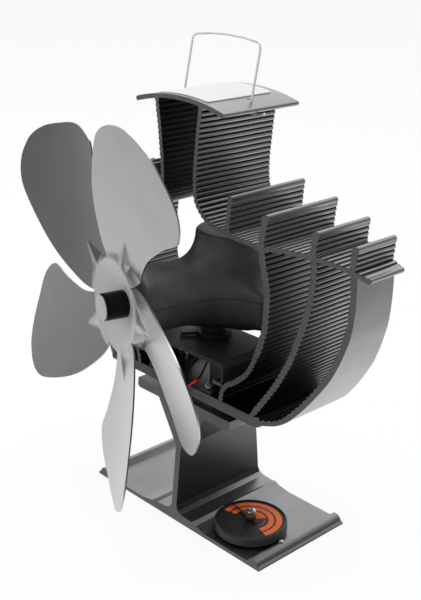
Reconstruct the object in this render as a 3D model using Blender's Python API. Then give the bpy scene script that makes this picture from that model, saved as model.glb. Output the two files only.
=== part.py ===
"""Heat-driven stove fan: a folded aluminium foot, a ribbed heat sink above it, a turning motor head
with a five-blade rotor, and a small magnetic thermometer on the foot.

Metres, +Z up. The origin is the middle of the foot's underside and the rotor faces -Y.
"""

import math

import bmesh
import bpy
from mathutils import Matrix, Vector

# Foot
FOOT_HALF_WIDTH = 0.0673
FOOT_HALF_DEPTH = 0.03295
END_LEAN_SHARE = 0.0939
FOOT_EDGE_HEIGHT = 0.0012
FOOT_NOTCH_INSET = 0.0016
FOOT_NOTCH_X = FOOT_HALF_WIDTH - FOOT_NOTCH_INSET
FOOT_NOTCH_Z = 0.0022
LIP_OUTER_INSET = 0.0018
LIP_OUTER_X = FOOT_HALF_WIDTH - LIP_OUTER_INSET
LIP_WIDTH = 0.0063
LIP_INNER_X = LIP_OUTER_X - LIP_WIDTH
LIP_TOP = 0.0051
LIP_START_DEG = -10.0
FOOT_SHEET = 0.0022
LIP_SLOPE_WIDTH = 0.0014
FOOT_SHEET_X = LIP_INNER_X - LIP_SLOPE_WIDTH
FOOT_INNER_Z = 0.0037
RIDGE_OUTER_X = 0.0182
RIDGE_X = 0.0156
RIDGE_TOP = 0.0052
RIDGE_INNER_Z = 0.0045
RIDGE_INNER_X = 0.0138
STEM_FOOT_X = 0.0062
STEM_FOOT_Z = 0.0050
STEM_FOOT_MID_X = 0.0032
STEM_FOOT_MID_Z = 0.0062
STEM_HALF = 0.00195
STEM_START_Z = 0.0090
STEM_TOP_Z = 0.0455
BRANCH_OUTER_X = 0.0190
BRANCH_INNER_X = 0.0135
BRANCH_FORK_Z = 0.0484
PLATFORM_HALF_WIDTH = 0.0367
PLATFORM_BOTTOM = 0.0664
PLATFORM_TOP = 0.0718
PLATFORM_CHAMFER = 0.0014
OVERLAP = 0.0006
ROUND_INSET_SHARE = 0.3

# Heat sink
SINK_FRONT = -0.02885
SINK_BACK = 0.02215
MITRE_X = 0.0560
MITRE_DEG = 30.0
SINK_REACH = 0.115
SINK_LOW = 0.074
SINK_HIGH = 0.240
RIB_PITCH = 0.0027
RIB_DEPTH = 0.00045
WALL_HALF = 0.00150
CURVE_HALF = 0.00140
OUTER_WALL_HALF = 0.00145
PLATE_HALF = 0.00275
PLATE_MIDDLE_Z = 0.08055
PLATE_HALF_WIDTH = 0.0600
CAP_CROWN_Z = 0.2340
CAP_END_DROP = 0.0042
CAP_HALF_WIDTH = 0.0306
CAP_HALF = 0.00120
STRIP_STEP_Y = 0.0004
LEG_LINE = [
    (0.0160, 0.2315),
    (0.0143, 0.2196),
    (0.0128, 0.2070),
    (0.01195, 0.1945),
    (0.01300, 0.1843),
    (0.01775, 0.1782),
    (0.02570, 0.1743),
    (0.03750, 0.1724),
    (0.05480, 0.1711),
    (0.07040, 0.1699),
    (0.08620, 0.1665),
    (0.09630, 0.1626),
    (0.10120, 0.1602),
]
FIN_1_LINE = [(0.0352, 0.1725), (0.0359, 0.1820), (0.0366, 0.1905)]
FIN_2_TOP_LINE = [(0.0569, 0.1712), (0.0577, 0.1790), (0.0586, 0.1856)]
FIN_3_TOP_LINE = [(0.0783, 0.1690), (0.0787, 0.1750), (0.0792, 0.1800)]
FIN_4_LINE = [(0.0943, 0.1640), (0.0949, 0.1700), (0.0953, 0.1746)]
FIN_2_LINE = [
    (0.0574, 0.1706),
    (0.0593, 0.1563),
    (0.0603, 0.1425),
    (0.0593, 0.1282),
    (0.0560, 0.1154),
    (0.0508, 0.1052),
    (0.0430, 0.0977),
    (0.0362, 0.0932),
    (0.0331, 0.0893),
    (0.0320, 0.0815),
]
FIN_3_LINE = [
    (0.0790, 0.1690),
    (0.0789, 0.1560),
    (0.0772, 0.1420),
    (0.0735, 0.1249),
    (0.0680, 0.1085),
    (0.0613, 0.0946),
    (0.0563, 0.0870),
    (0.0535, 0.0815),
]
OUTER_WALL_LINE = [
    (0.0952, 0.1625),
    (0.0954, 0.1480),
    (0.0942, 0.1327),
    (0.0909, 0.1197),
    (0.0869, 0.1088),
    (0.0814, 0.1002),
    (0.0749, 0.0896),
    (0.0690, 0.0836),
    (0.0640, 0.0812),
    (0.0585, 0.0805),
]
HOOK_ROOT_X = 0.0331
HOOK_TIP_X = 0.0270
HOOK_Z = 0.0922
HOOK_HALF = 0.0009
ROUND_END_DEG = 60.0
PLAIN_WALL_SKIP_COUNT = 4

# Thermoelectric module between the foot's platform and the heat sink
MODULE_SIDE = 0.0400
MODULE_MIDDLE_Y = -0.0030
SEAT_GAP = 0.00025
PAD_THICKNESS = 0.0006
CERAMIC_THICKNESS = 0.0007
PELLET_THICKNESS = 0.0015
PELLET_INSET = 0.0012

# Screws
CLAMP_SCREW_X = 0.0258
CLAMP_HEAD_RADIUS = 0.00275
CLAMP_SHANK_RADIUS = 0.0015
CLAMP_HEAD_HEIGHT = 0.0020
CLAMP_HEAD_ROUND = 0.0006
HOLE_GAP = 0.00030
WASHER_RADIUS = 0.0035
WASHER_THICKNESS = 0.0008
TRAY_SCREW_X = 0.0203
TRAY_SCREW_Y = -0.0248
TRAY_SCREW_LENGTH = 0.0042

# Bail handle
HANDLE_HALF_WIDTH = 0.0240
HANDLE_WIRE_RADIUS = 0.00060
HANDLE_HEIGHT = 0.0290
HANDLE_KINK = 0.0016
HANDLE_KINK_SHARE = 0.67
HANDLE_BEND = 0.0032
HANDLE_HOOK_DROP = 0.0043
HANDLE_HOOK_REACH = 0.0099
HANDLE_HOOK_LIFT = 0.0010
HANDLE_HOOK_BEND = 0.0013
HANDLE_LEAN_DEG = 12.0
HANDLE_HOLE_RADIUS = 0.0011

# Label
LABEL_HALF_WIDTH = 0.0180
LABEL_FRONT = -0.0262
LABEL_BACK = 0.0172
LABEL_THICKNESS = 0.0004
LABEL_CORNER = 0.0030
LABEL_GAP = 0.00012

# Tray that carries the head
TRAY_HALF_WIDTH = 0.0334
TRAY_FRONT = -0.0284
TRAY_BACK = 0.0098
TRAY_TOP = 0.1038
TRAY_HEIGHT = 0.0102
TRAY_BOTTOM = TRAY_TOP - TRAY_HEIGHT
TRAY_FLOOR = 0.0024
TRAY_WALL = 0.0018
TRAY_ROUND = 0.0030
TRAY_LEG_X = 0.0203
TRAY_LEG_HALF = 0.0042
TRAY_LEG_DEPTH = 0.0088
TRAY_LEG_SHEET = 0.0016

# Turning head, in its own frame: origin on the turning axis, rotor axis along -Y
PIVOT_Y = -0.00335
HEAD_TURN_DEG = -13.2
AXIS_RISE = 0.0265
AXIS_Z = TRAY_TOP + AXIS_RISE
SEAM_LIFT = 0.0004
SEAM_Z = AXIS_Z + SEAM_LIFT
SEAM_GAP = 0.0003
SHELL_WALL = 0.0018
BARREL_RADIUS = 0.0174
BARREL_FRONT = -0.0478
BARREL_ROUND = 0.0030
BARREL_BLEND_START = -0.0180
BARREL_BLEND_END = -0.0090
BARREL_BLEND_RISE = 0.0085
BARREL_BLEND_WIDEN = 0.0016
BARREL_BACK = 0.0090
BARREL_SEGMENTS = 24
BODY_DROP = 0.0152
BODY_BOTTOM = SEAM_Z - BODY_DROP
BODY_RISE = 0.0038
BODY_TOP = SEAM_Z + BODY_RISE
TOWER_MIDDLE_Y = 0.0105
TOWER_RISE = 0.0268
TOWER_TOP = BODY_TOP + TOWER_RISE
TOWER_TOP_RADIUS = 0.0190
TOWER_LOW_RADIUS = 0.0208
TOWER_RIM = 0.0010
TOWER_SEGMENTS = 28
BODY_HALF_WIDTH = 0.0380
BODY_FRONT = 0.0076
BODY_BACK = 0.0262
BODY_CORNER = 0.0045
BODY_NECK_Y = -0.0110
BODY_NECK_HALF = 0.0170
BODY_EDGE = 0.0015
NOSE_HOLE_RADIUS = 0.0045
HEAD_SCREW_X = 0.0300
HEAD_SCREW_Y = 0.0170
HEAD_SCREW_RADIUS = 0.0011
HEAD_SCREW_HEAD = 0.0022
HEAD_SCREW_LENGTH = 0.0120
HEAD_SCREW_HEAD_HEIGHT = 0.0012
HEAD_BOSS_RADIUS = 0.0030

# Pivot between tray and head
COLLAR_RADIUS = 0.0070
COLLAR_FLANGE_RADIUS = 0.0098
COLLAR_FLANGE = 0.0022
PIN_RADIUS = 0.0024
PIN_BORE = 0.0016
PIN_HEAD_RADIUS = 0.0046
PIN_HEAD = 0.0014
PIN_RISE = 0.0057
PIN_TOP = AXIS_Z - BARREL_RADIUS + PIN_RISE
CLIP_RADIUS = 0.0042
CLIP_THICKNESS = 0.0010
ARM_HALF_WIDTH = 0.0022
ARM_THICKNESS = 0.0014
ARM_FRONT = -0.0172
ARM_SIDE = -0.0056

# Motor, in a frame on the rotor axis
FIT_GAP = 0.0001
MOTOR_RADIUS = 0.0120
MOTOR_FRONT = -0.0442
MOTOR_LENGTH = 0.0245
MOTOR_WALL = 0.0008
MOTOR_NOSE_RADIUS = 0.0032
MOTOR_NOSE = 0.0014
MAGNET_THICKNESS = 0.0022
MAGNET_HALF_DEG = 66.0
MAGNET_LENGTH = 0.0150
CORE_RADIUS = 0.0080
CORE_MIDDLE_RADIUS = 0.0030
CORE_LENGTH = 0.0120
CORE_FRONT = -0.0402
CORE_POLE_HALF_DEG = 50.0
CORE_POLE_RIM = 0.0013
CORE_ARM_HALF = 0.0012
CORE_POLE_COUNT = 3
WINDING_THICKNESS = 0.0012
WINDING_GAP = 0.00015
WINDING_INNER = 0.0037
WINDING_OUTER = 0.0058
WINDING_CORNER_SHARE = 0.25
COMMUTATOR_RADIUS = 0.0024
COMMUTATOR_LENGTH = 0.0034
COMMUTATOR_GAP = 0.0005
BRUSH_WIDTH = 0.0016
BRUSH_SHEET = 0.0003
BRUSH_FLARE = 0.0018
BRUSH_REACH_SHARE = 0.75
BEARING_RADIUS = 0.0024
BEARING_LENGTH = 0.0022
END_CAP_THICKNESS = 0.0022
SHAFT_RADIUS = 0.00100
SHAFT_FRONT = -0.0632
SHAFT_BACK = -0.0186
SLEEVE_LENGTH = 0.0130

# Rotor, in a frame on its axis
BLADE_COUNT = 5
BLADE_FIRST_DEG = 56.0
BLADE_SHEET = 0.0008
BLADE_PLANE = -0.0514
NOTCH_RADIUS = 0.0245
NOTCH_DEG = -18.6
PLATE_RINGS = (0.0100, 0.0175)
FLAT_RADIUS = 0.0215
FORMED_RADIUS = 0.0380
BLADE_LEAN = -0.01256
BLADE_PITCH = -0.00492
BLADE_CAMBER = -0.00161
BLADE_TWIST = -0.00255
BLADE_UNIT_REACH = 0.1000
BLADE_UNIT_SIDE = 0.0300
BLADE_ROW_SHARES = (0, 0.06, 0.14, 0.25, 0.38, 0.52, 0.65, 0.77, 0.87, 0.94, 1)
BLADE_CHORD_COUNT = 6
BLADE_RIGHT_EDGE = [
    (0.02534, -0.00785),
    (0.03448, -0.00745),
    (0.04531, -0.00924),
    (0.05595, -0.01361),
    (0.06628, -0.01878),
    (0.07552, -0.02474),
    (0.08039, -0.02574),
    (0.08625, -0.02425),
    (0.09192, -0.02047),
    (0.09569, -0.01520),
    (0.09867, -0.00924),
    (0.10156, -0.00328),
    (0.10394, 0.00268),
]
BLADE_TIP_EDGE = [
    (0.10394, 0.00268),
    (0.10523, 0.00894),
    (0.10553, 0.01451),
    (0.10493, 0.01858),
    (0.10354, 0.02216),
]
BLADE_LEFT_EDGE = [
    (0.02136, 0.02504),
    (0.03170, 0.03011),
    (0.04253, 0.03398),
    (0.05436, 0.03637),
    (0.06737, 0.03736),
    (0.07671, 0.03746),
    (0.08307, 0.03716),
    (0.08794, 0.03627),
    (0.09321, 0.03408),
    (0.09788, 0.03061),
    (0.10136, 0.02643),
    (0.10354, 0.02216),
]
HUB_RADIUS = 0.0072
HUB_FRONT = -0.0651
HUB_ROUND = 0.0010
HUB_SPIGOT_RADIUS = 0.0030
HUB_DISC_THICKNESS = 0.0005
HUB_DISC_RADIUS = 0.0067
COLLAR_NUT_RADIUS = 0.0046
COLLAR_NUT_LENGTH = 0.0018

# Leads from the module through the hollow pin to the motor
LEAD_RADIUS = 0.00065
LEAD_STEP = 0.0038
LEAD_START_Y = -0.0222
RED_LEAD_LOW = [
    (0.0075, -0.0275, 0.0748),
    (0.0077, -0.0303, 0.0768),
    (0.0080, -0.0306, 0.0808),
    (0.0100, -0.0302, 0.0848),
    (0.0130, -0.0288, 0.0872),
    (0.0128, -0.0250, 0.0888),
    (0.0085, -0.0170, 0.0915),
    (0.0034, -0.0085, 0.0942),
    (0.0011, -0.0045, 0.0967),
]
BLACK_LEAD_LOW = [
    (0.0040, -0.0275, 0.0748),
    (0.0040, -0.0303, 0.0768),
    (0.0040, -0.0306, 0.0808),
    (0.0038, -0.0298, 0.0850),
    (0.0030, -0.0262, 0.0880),
    (0.0006, -0.0170, 0.0915),
    (-0.0008, -0.0085, 0.0942),
    (-0.0009, -0.0045, 0.0967),
]
LEAD_SIDE = 0.00075
LEAD_PIN_DROP = 0.0043
LEAD_PIN_RISE = 0.0019
LEAD_HIGH = [
    (0.0012, -0.0012, -0.0058),
    (0.0020, -0.0062, -0.0031),
    (0.0022, -0.0122, -0.0023),
    (0.0022, -0.01885, -0.0023),
]

# Thermometer, in a frame at its middle; its cup fills the sheet between ridge and lip
GAUGE_LIP_GAP = 0.0004
GAUGE_RIDGE_GAP = 0.0010
CUP_RADIUS = (LIP_INNER_X - GAUGE_LIP_GAP - RIDGE_OUTER_X - GAUGE_RIDGE_GAP) / 2
GAUGE_X = LIP_INNER_X - GAUGE_LIP_GAP - CUP_RADIUS
GAUGE_Y = -0.0110
CUP_LIFT = 0.0003
CUP_BOTTOM = FOOT_SHEET + CUP_LIFT
CUP_BOTTOM_SHARE = 0.707
CUP_BOTTOM_RADIUS = CUP_RADIUS * CUP_BOTTOM_SHARE
FOOT_FLAT_ROOM = 0.0010
FOOT_FLAT_X = GAUGE_X - CUP_BOTTOM_RADIUS + FOOT_FLAT_ROOM
CUP_SKIRT = 0.0019
CUP_HEIGHT = 0.0069
CUP_TOP = CUP_BOTTOM + CUP_HEIGHT
CUP_BEVEL = 0.0008
CUP_FLOOR = 0.0012
CUP_BOSS_RADIUS = 0.0020
CUP_BOSS = 0.0028
DIAL_RIM = 0.0014
DIAL_RADIUS = CUP_RADIUS - DIAL_RIM
DIAL_LEDGE = 0.0010
DIAL_DROP = 0.0006
DIAL_THICKNESS = 0.0006
DIAL_HOLE = 0.0020
GAUGE_MAGNET_HOLE_SHARE = 0.571
GAUGE_MAGNET_HOLE = CUP_BOTTOM_RADIUS * GAUGE_MAGNET_HOLE_SHARE
GAUGE_MAGNET_THICKNESS = 0.0020
SPIRAL_TURN_COUNT = 3
SPIRAL_INNER = 0.0028
SPIRAL_ROOM = 0.0010
SPIRAL_PITCH = (GAUGE_MAGNET_HOLE - SPIRAL_INNER - SPIRAL_ROOM) / SPIRAL_TURN_COUNT
SPIRAL_SHEET = 0.0003
SPIRAL_HEIGHT = 0.0016
SPIRAL_POINTS_A_TURN_COUNT = 12
BRASS_RADIUS = 0.0029
BRASS_HEIGHT = 0.0014
GAUGE_SCREW_RADIUS = 0.0029
GAUGE_SCREW_HEIGHT = 0.0011
GAUGE_PIN_RADIUS = 0.0009
POINTER_ROOM = 0.0016
POINTER_LENGTH = DIAL_RADIUS - POINTER_ROOM
POINTER_TAIL = 0.0050
POINTER_EYE = 0.0022
POINTER_HALF = 0.0008
POINTER_TIP_HALF = 0.0002
POINTER_THICKNESS = 0.0004
POINTER_LIFT = 0.0005
POINTER_DEG = 171.0
STUD_RADIUS = 0.0014
STUD_SHANK = 0.0007
STUD_HEIGHT = 0.0008
STUD_DEPTH = 0.0020
STUD_LIP_INSET = 0.0019
STUD_OUTER_X = LIP_INNER_X + STUD_LIP_INSET
STUD_Y = -0.0105

ROUND_SEGMENTS = 20
SMALL_SEGMENTS = 12
DIAL_SEGMENTS = 32
ARC_STEPS = 4
CURVE_STEPS = 8
SMOOTH_ANGLE_DEG = 35.0


def clear_scene():
    """Remove the start-up objects."""
    for obj in list(bpy.data.objects):
        bpy.data.objects.remove(obj, do_unlink=True)


def new_material(name, colour, roughness, metallic):
    """One Principled material."""
    material = bpy.data.materials.new(name)
    material.use_nodes = True
    shader = material.node_tree.nodes["Principled BSDF"]
    shader.inputs["Base Color"].default_value = (*colour, 1)
    shader.inputs["Roughness"].default_value = roughness
    shader.inputs["Metallic"].default_value = metallic
    return material


def link(obj, parent=None):
    """Put an object in the scene, under its parent if it has one."""
    bpy.context.scene.collection.objects.link(obj)
    if parent is not None:
        obj.parent = parent
    return obj


def empty(name, location, turn_z_deg=0, parent=None):
    """A frame for moving pieces."""
    obj = bpy.data.objects.new(name, None)
    obj.location = location
    obj.rotation_euler = (0, 0, math.radians(turn_z_deg))
    return link(obj, parent)


def mesh_object(name, points, faces, material=None, parent=None, smooth=False):
    """A closed mesh, its faces turned outwards."""
    mesh = bpy.data.meshes.new(name)
    mesh.from_pydata([tuple(p) for p in points], [], faces)
    work = bmesh.new()
    work.from_mesh(mesh)
    bmesh.ops.recalc_face_normals(work, faces=work.faces)
    if work.calc_volume(signed=True) < 0:
        bmesh.ops.reverse_faces(work, faces=work.faces)
    work.to_mesh(mesh)
    work.free()
    if smooth:
        mesh.shade_smooth()
        mesh.set_sharp_from_angle(angle=math.radians(SMOOTH_ANGLE_DEG))
    if material is not None:
        mesh.materials.append(material)
    return link(bpy.data.objects.new(name, mesh), parent)


def helper(obj):
    """Hide a cutter or a joined shape from the part."""
    obj.hide_render = True
    obj.display_type = "WIRE"
    return obj


def boolean(obj, other, operation):
    """A live Boolean with a hidden helper."""
    modifier = obj.modifiers.new(operation.title(), "BOOLEAN")
    modifier.operation = operation
    modifier.solver = "EXACT"
    modifier.object = helper(other)
    return obj


def prism(name, outline, low, high, axis, material=None, parent=None, smooth=False):
    """An outline drawn in two directions and run along the third: X, Y or Z."""
    count = len(outline)
    points = []
    for level in (low, high):
        for a, b in outline:
            points.append({"X": (level, a, b), "Y": (a, level, b), "Z": (a, b, level)}[axis])
    faces = [list(range(count)), list(range(count, 2 * count))]
    faces += [[i, (i + 1) % count, count + (i + 1) % count, count + i] for i in range(count)]
    return mesh_object(name, points, faces, material, parent, smooth)


def revolve(name, profile, axis, centre, material=None, parent=None, segments=ROUND_SEGMENTS):
    """A profile of (radius, height) points turned about an axis through centre.

    A profile that starts and ends at radius 0 is a solid; any other is closed on itself, as a ring.
    """
    points = []
    rings = []
    for radius, height in profile:
        if radius == 0:
            rings.append([len(points)])
            points.append((0, 0, height))
            continue
        rings.append(list(range(len(points), len(points) + segments)))
        for i in range(segments):
            angle = math.tau * i / segments
            points.append((radius * math.cos(angle), radius * math.sin(angle), height))
    faces = []
    pairs = list(zip(rings, rings[1:]))
    if profile[0][0] != 0:
        pairs.append((rings[-1], rings[0]))
    for first, second in pairs:
        for i in range(segments):
            j = (i + 1) % segments
            if len(first) == 1:
                faces.append([first[0], second[i], second[j]])
            elif len(second) == 1:
                faces.append([first[i], second[0], first[j]])
            else:
                faces.append([first[i], second[i], second[j], first[j]])
    turn = {
        "Z": Matrix.Identity(3),
        "Y": Matrix.Rotation(math.radians(-90), 3, "X"),
        "X": Matrix.Rotation(math.radians(90), 3, "Y"),
    }[axis]
    points = [turn @ Vector(p) + Vector(centre) for p in points]
    return mesh_object(name, points, faces, material, parent, True)


def cylinder(
    name, radius, low, high, axis, centre, material=None, parent=None, segments=SMALL_SEGMENTS
):
    """A plain round bar from low to high along its axis."""
    profile = [(0, low), (radius, low), (radius, high), (0, high)]
    return revolve(name, profile, axis, centre, material, parent, segments)


def ring(
    name, inner, outer, low, high, axis, centre, material=None, parent=None, segments=ROUND_SEGMENTS
):
    """A plain tube from low to high along its axis."""
    profile = [(inner, low), (outer, low), (outer, high), (inner, high)]
    return revolve(name, profile, axis, centre, material, parent, segments)


def arc(centre, radius, start_deg, end_deg, steps=ARC_STEPS):
    """Points of a round stretch in a plane."""
    angles = [math.radians(start_deg + (end_deg - start_deg) * i / steps) for i in range(steps + 1)]
    return [(centre[0] + radius * math.cos(a), centre[1] + radius * math.sin(a)) for a in angles]


def mirrored(outline):
    """The same outline on the other side of X = 0."""
    return [(-x, z) for x, z in reversed(outline)]


def curve_points(keys, per_span):
    """A Catmull-Rom curve through the key points, in two or three dimensions."""
    keys = [Vector(k) for k in keys]
    ends = [keys[0] * 2 - keys[1]] + keys + [keys[-1] * 2 - keys[-2]]
    points = []
    for a, b, c, d in zip(ends, ends[1:], ends[2:], ends[3:]):
        for i in range(per_span):
            t = i / per_span
            points.append(
                (
                    b * 2
                    + (c - a) * t
                    + (a * 2 - b * 5 + c * 4 - d) * t**2
                    + (b * 3 - a - c * 3 + d) * t**3
                )
                / 2
            )
    points.append(keys[-1])
    return points


def evenly(points, step):
    """The same line with points at even distances, about one step apart."""
    lengths = [0]
    for a, b in zip(points, points[1:]):
        lengths.append(lengths[-1] + (b - a).length)
    count = max(2, round(lengths[-1] / step))
    found = []
    at = 0
    for i in range(count + 1):
        want = lengths[-1] * i / count
        while at < len(points) - 2 and lengths[at + 1] < want:
            at += 1
        span = lengths[at + 1] - lengths[at]
        found.append(points[at].lerp(points[at + 1], (want - lengths[at]) / span))
    return found


def strip_outline(keys, half, left_ribs, right_ribs, round_end):
    """The outline of a wall of the extrusion: its middle line widened to both sides, with ribs as teeth."""
    line = evenly(curve_points(keys, CURVE_STEPS), RIB_PITCH / 2)
    sides = ([], [])
    for i, point in enumerate(line):
        along = (line[min(i + 1, len(line) - 1)] - line[max(i - 1, 0)]).normalized()
        across = Vector((-along.y, along.x))
        for side, ribs, sign in ((0, left_ribs, 1), (1, right_ribs, -1)):
            if not ribs and i % PLAIN_WALL_SKIP_COUNT and i != len(line) - 1:
                continue
            depth = half - (RIB_DEPTH if ribs and i % 2 else 0)
            sides[side].append(point + across * depth * sign)
    left, right = sides
    if round_end:
        along = (line[-1] - line[-2]).normalized()
        across = Vector((-along.y, along.x))
        beyond = along * half * math.sin(math.radians(ROUND_END_DEG))
        beside = across * half * math.cos(math.radians(ROUND_END_DEG))
        left[-1] = line[-1] + across * half
        right[-1] = line[-1] - across * half
        left.append(line[-1] + beyond + beside)
        right.append(line[-1] + beyond - beside)
    return [tuple(p) for p in left] + [tuple(p) for p in reversed(right)]


def foot(material):
    """The folded foot: flat sheet with beaded lips, a stem that forks, and the platform for the module."""
    half = [
        (FOOT_HALF_WIDTH - FOOT_EDGE_HEIGHT / 2, 0),
        (FOOT_HALF_WIDTH, FOOT_EDGE_HEIGHT / 2),
        (FOOT_HALF_WIDTH - FOOT_EDGE_HEIGHT * ROUND_INSET_SHARE, FOOT_EDGE_HEIGHT),
        (FOOT_NOTCH_X, FOOT_NOTCH_Z),
    ]
    bead = (LIP_OUTER_X - LIP_INNER_X) / 2
    middle = (LIP_OUTER_X - bead, LIP_TOP - bead)
    half += arc(middle, bead, LIP_START_DEG, 90, ARC_STEPS)
    half += [(LIP_INNER_X + bead / 2, LIP_TOP), (LIP_INNER_X, LIP_TOP - bead / 2)]
    half += [
        (FOOT_SHEET_X, FOOT_SHEET),
        (FOOT_FLAT_X, FOOT_SHEET),
        (RIDGE_OUTER_X, FOOT_INNER_Z),
        (RIDGE_X, RIDGE_TOP),
        (RIDGE_INNER_X, RIDGE_INNER_Z),
        (STEM_FOOT_X, STEM_FOOT_Z),
        (STEM_FOOT_MID_X, STEM_FOOT_MID_Z),
        (STEM_HALF, STEM_START_Z),
        (STEM_HALF, STEM_TOP_Z),
    ]
    outline = half + mirrored(half)
    reach = FOOT_HALF_DEPTH + OVERLAP
    obj = prism("base_extrusion", outline, -reach, reach, "Y", material)
    for sign, name in ((1, "right"), (-1, "left")):
        branch = [
            (STEM_HALF * sign, STEM_TOP_Z - STEM_HALF),
            (BRANCH_OUTER_X * sign, PLATFORM_BOTTOM + OVERLAP),
            (BRANCH_INNER_X * sign, PLATFORM_BOTTOM + OVERLAP),
            (-STEM_HALF * sign / 2, BRANCH_FORK_Z - STEM_HALF),
        ]
        extra = OVERLAP * (2 + sign)
        boolean(obj, prism("branch_" + name, branch, -reach - extra, reach + extra, "Y"), "UNION")
    edge = PLATFORM_HALF_WIDTH
    platform = [
        (edge - PLATFORM_CHAMFER, PLATFORM_BOTTOM),
        (edge, PLATFORM_BOTTOM + PLATFORM_CHAMFER),
        (edge, PLATFORM_TOP),
    ]
    platform += mirrored(platform)
    extra = OVERLAP * 4
    boolean(obj, prism("platform", platform, -reach - extra, reach + extra, "Y"), "UNION")
    top = PLATFORM_TOP + OVERLAP
    low = -OVERLAP
    wedge = [
        (-FOOT_HALF_DEPTH + END_LEAN_SHARE * low, low),
        (FOOT_HALF_DEPTH - END_LEAN_SHARE * low, low),
        (FOOT_HALF_DEPTH - END_LEAN_SHARE * top, top),
        (-FOOT_HALF_DEPTH + END_LEAN_SHARE * top, top),
    ]
    wide = FOOT_HALF_WIDTH * 2
    boolean(obj, prism("foot_ends", wedge, -wide, wide, "X"), "INTERSECT")
    for sign in (1, -1):
        centre = (CLAMP_SCREW_X * sign, MODULE_MIDDLE_Y, 0)
        hole = cylinder(
            f"platform_hole_{sign}",
            CLAMP_SHANK_RADIUS + HOLE_GAP,
            PLATFORM_BOTTOM - OVERLAP,
            top,
            "Z",
            centre,
        )
        boolean(obj, hole, "DIFFERENCE")
    for name, x in (("inner", RIDGE_X), ("outer", STUD_OUTER_X)):
        hole = cylinder(
            "stud_hole_" + name,
            STUD_SHANK + HOLE_GAP / 2,
            stud_seat(x) - STUD_DEPTH - HOLE_GAP,
            LIP_TOP + OVERLAP,
            "Z",
            (x, STUD_Y, 0),
        )
        boolean(obj, hole, "DIFFERENCE")
    return obj


def stud_seat(x):
    """Height of the foot's top under each small stud."""
    return RIDGE_TOP if x < FOOT_HALF_WIDTH / 2 else LIP_TOP


def cap_line():
    """Middle line of the arched cap."""
    count = 2 * ARC_STEPS
    points = []
    for i in range(count + 1):
        share = 2 * i / count - 1
        drop = CAP_END_DROP * share**2
        points.append((CAP_HALF_WIDTH * share, CAP_CROWN_Z - CAP_HALF - drop))
    return points


def heat_sink(material):
    """The ribbed extrusion: cap, legs that sweep out into wings, hanging and standing fins, base plate."""
    reach = SINK_BACK * 2
    plate_line = [(x, PLATE_MIDDLE_Z) for x in (-PLATE_HALF_WIDTH, 0, PLATE_HALF_WIDTH)]
    strips = [
        ("cap", cap_line(), CAP_HALF, False, False, True),
        ("plate", plate_line, PLATE_HALF, False, False, False),
    ]
    walls = [
        ("leg", LEG_LINE, CURVE_HALF, True, False, True),
        ("fin_1", FIN_1_LINE, WALL_HALF, True, True, True),
        ("fin_2_top", FIN_2_TOP_LINE, WALL_HALF, True, True, True),
        ("fin_3_top", FIN_3_TOP_LINE, WALL_HALF, True, True, True),
        ("fin_4", FIN_4_LINE, WALL_HALF, True, True, True),
        ("fin_2", FIN_2_LINE, WALL_HALF, False, False, False),
        ("fin_3", FIN_3_LINE, WALL_HALF, False, False, False),
        ("outer", OUTER_WALL_LINE, OUTER_WALL_HALF, False, False, False),
        ("hook", [(HOOK_ROOT_X, HOOK_Z), (HOOK_TIP_X, HOOK_Z)], HOOK_HALF, False, False, True),
    ]
    outlines = [(name, strip_outline(line, half, *rest)) for name, line, half, *rest in strips]
    for name, line, half, *rest in walls:
        outline = strip_outline(line, half, *rest)
        outlines.append((name + "_right", outline))
        outlines.append((name + "_left", mirrored(outline)))
    group = bpy.data.collections.new("sink_walls")
    bpy.context.scene.collection.children.link(group)
    obj = None
    for i, (name, outline) in enumerate(outlines):
        extra = reach + STRIP_STEP_Y * i
        if obj is None:
            obj = prism("heat_sink", outline, -extra, extra, "Y", material)
            continue
        wall = helper(prism("sink_" + name, outline, -extra, extra, "Y"))
        bpy.context.scene.collection.objects.unlink(wall)
        group.objects.link(wall)
    group.hide_render = True
    union = obj.modifiers.new("Walls", "BOOLEAN")
    union.operation = "UNION"
    union.solver = "EXACT"
    union.operand_type = "COLLECTION"
    union.collection = group
    mitre = (SINK_REACH - MITRE_X) * math.tan(math.radians(MITRE_DEG))
    plan = [
        (MITRE_X, SINK_FRONT),
        (SINK_REACH, SINK_FRONT + mitre),
        (SINK_REACH, SINK_BACK),
    ]
    plan += mirrored(plan)
    boolean(obj, prism("sink_ends", plan, SINK_LOW, SINK_HIGH, "Z"), "INTERSECT")
    plate_low = PLATE_MIDDLE_Z - PLATE_HALF - OVERLAP
    plate_high = PLATE_MIDDLE_Z + PLATE_HALF + OVERLAP
    tray_low = plate_high - TRAY_SCREW_LENGTH - OVERLAP
    cap_low = CAP_CROWN_Z - CAP_END_DROP - 3 * CAP_HALF
    cap_high = CAP_CROWN_Z + OVERLAP
    screw = CLAMP_SHANK_RADIUS + HOLE_GAP
    holes = (
        ("clamp", CLAMP_SCREW_X, MODULE_MIDDLE_Y, screw, plate_low, plate_high),
        ("tray", TRAY_SCREW_X, TRAY_SCREW_Y, screw, tray_low, plate_high),
        ("handle", HANDLE_HALF_WIDTH, PIVOT_Y, HANDLE_HOLE_RADIUS, cap_low, cap_high),
    )
    for sign in (1, -1):
        for name, x, y, radius, low, high in holes:
            hole = cylinder(f"sink_{name}_hole_{sign}", radius, low, high, "Z", (x * sign, y, 0))
            boolean(obj, hole, "DIFFERENCE")
    return obj


def slab(name, half_x, half_y, low, high, material):
    """A flat square piece of the module stack."""
    y = MODULE_MIDDLE_Y
    outline = [(-half_x, y - half_y), (half_x, y - half_y), (half_x, y + half_y), (-half_x, y + half_y)]
    return prism(name, outline, low, high, "Z", material)


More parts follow.
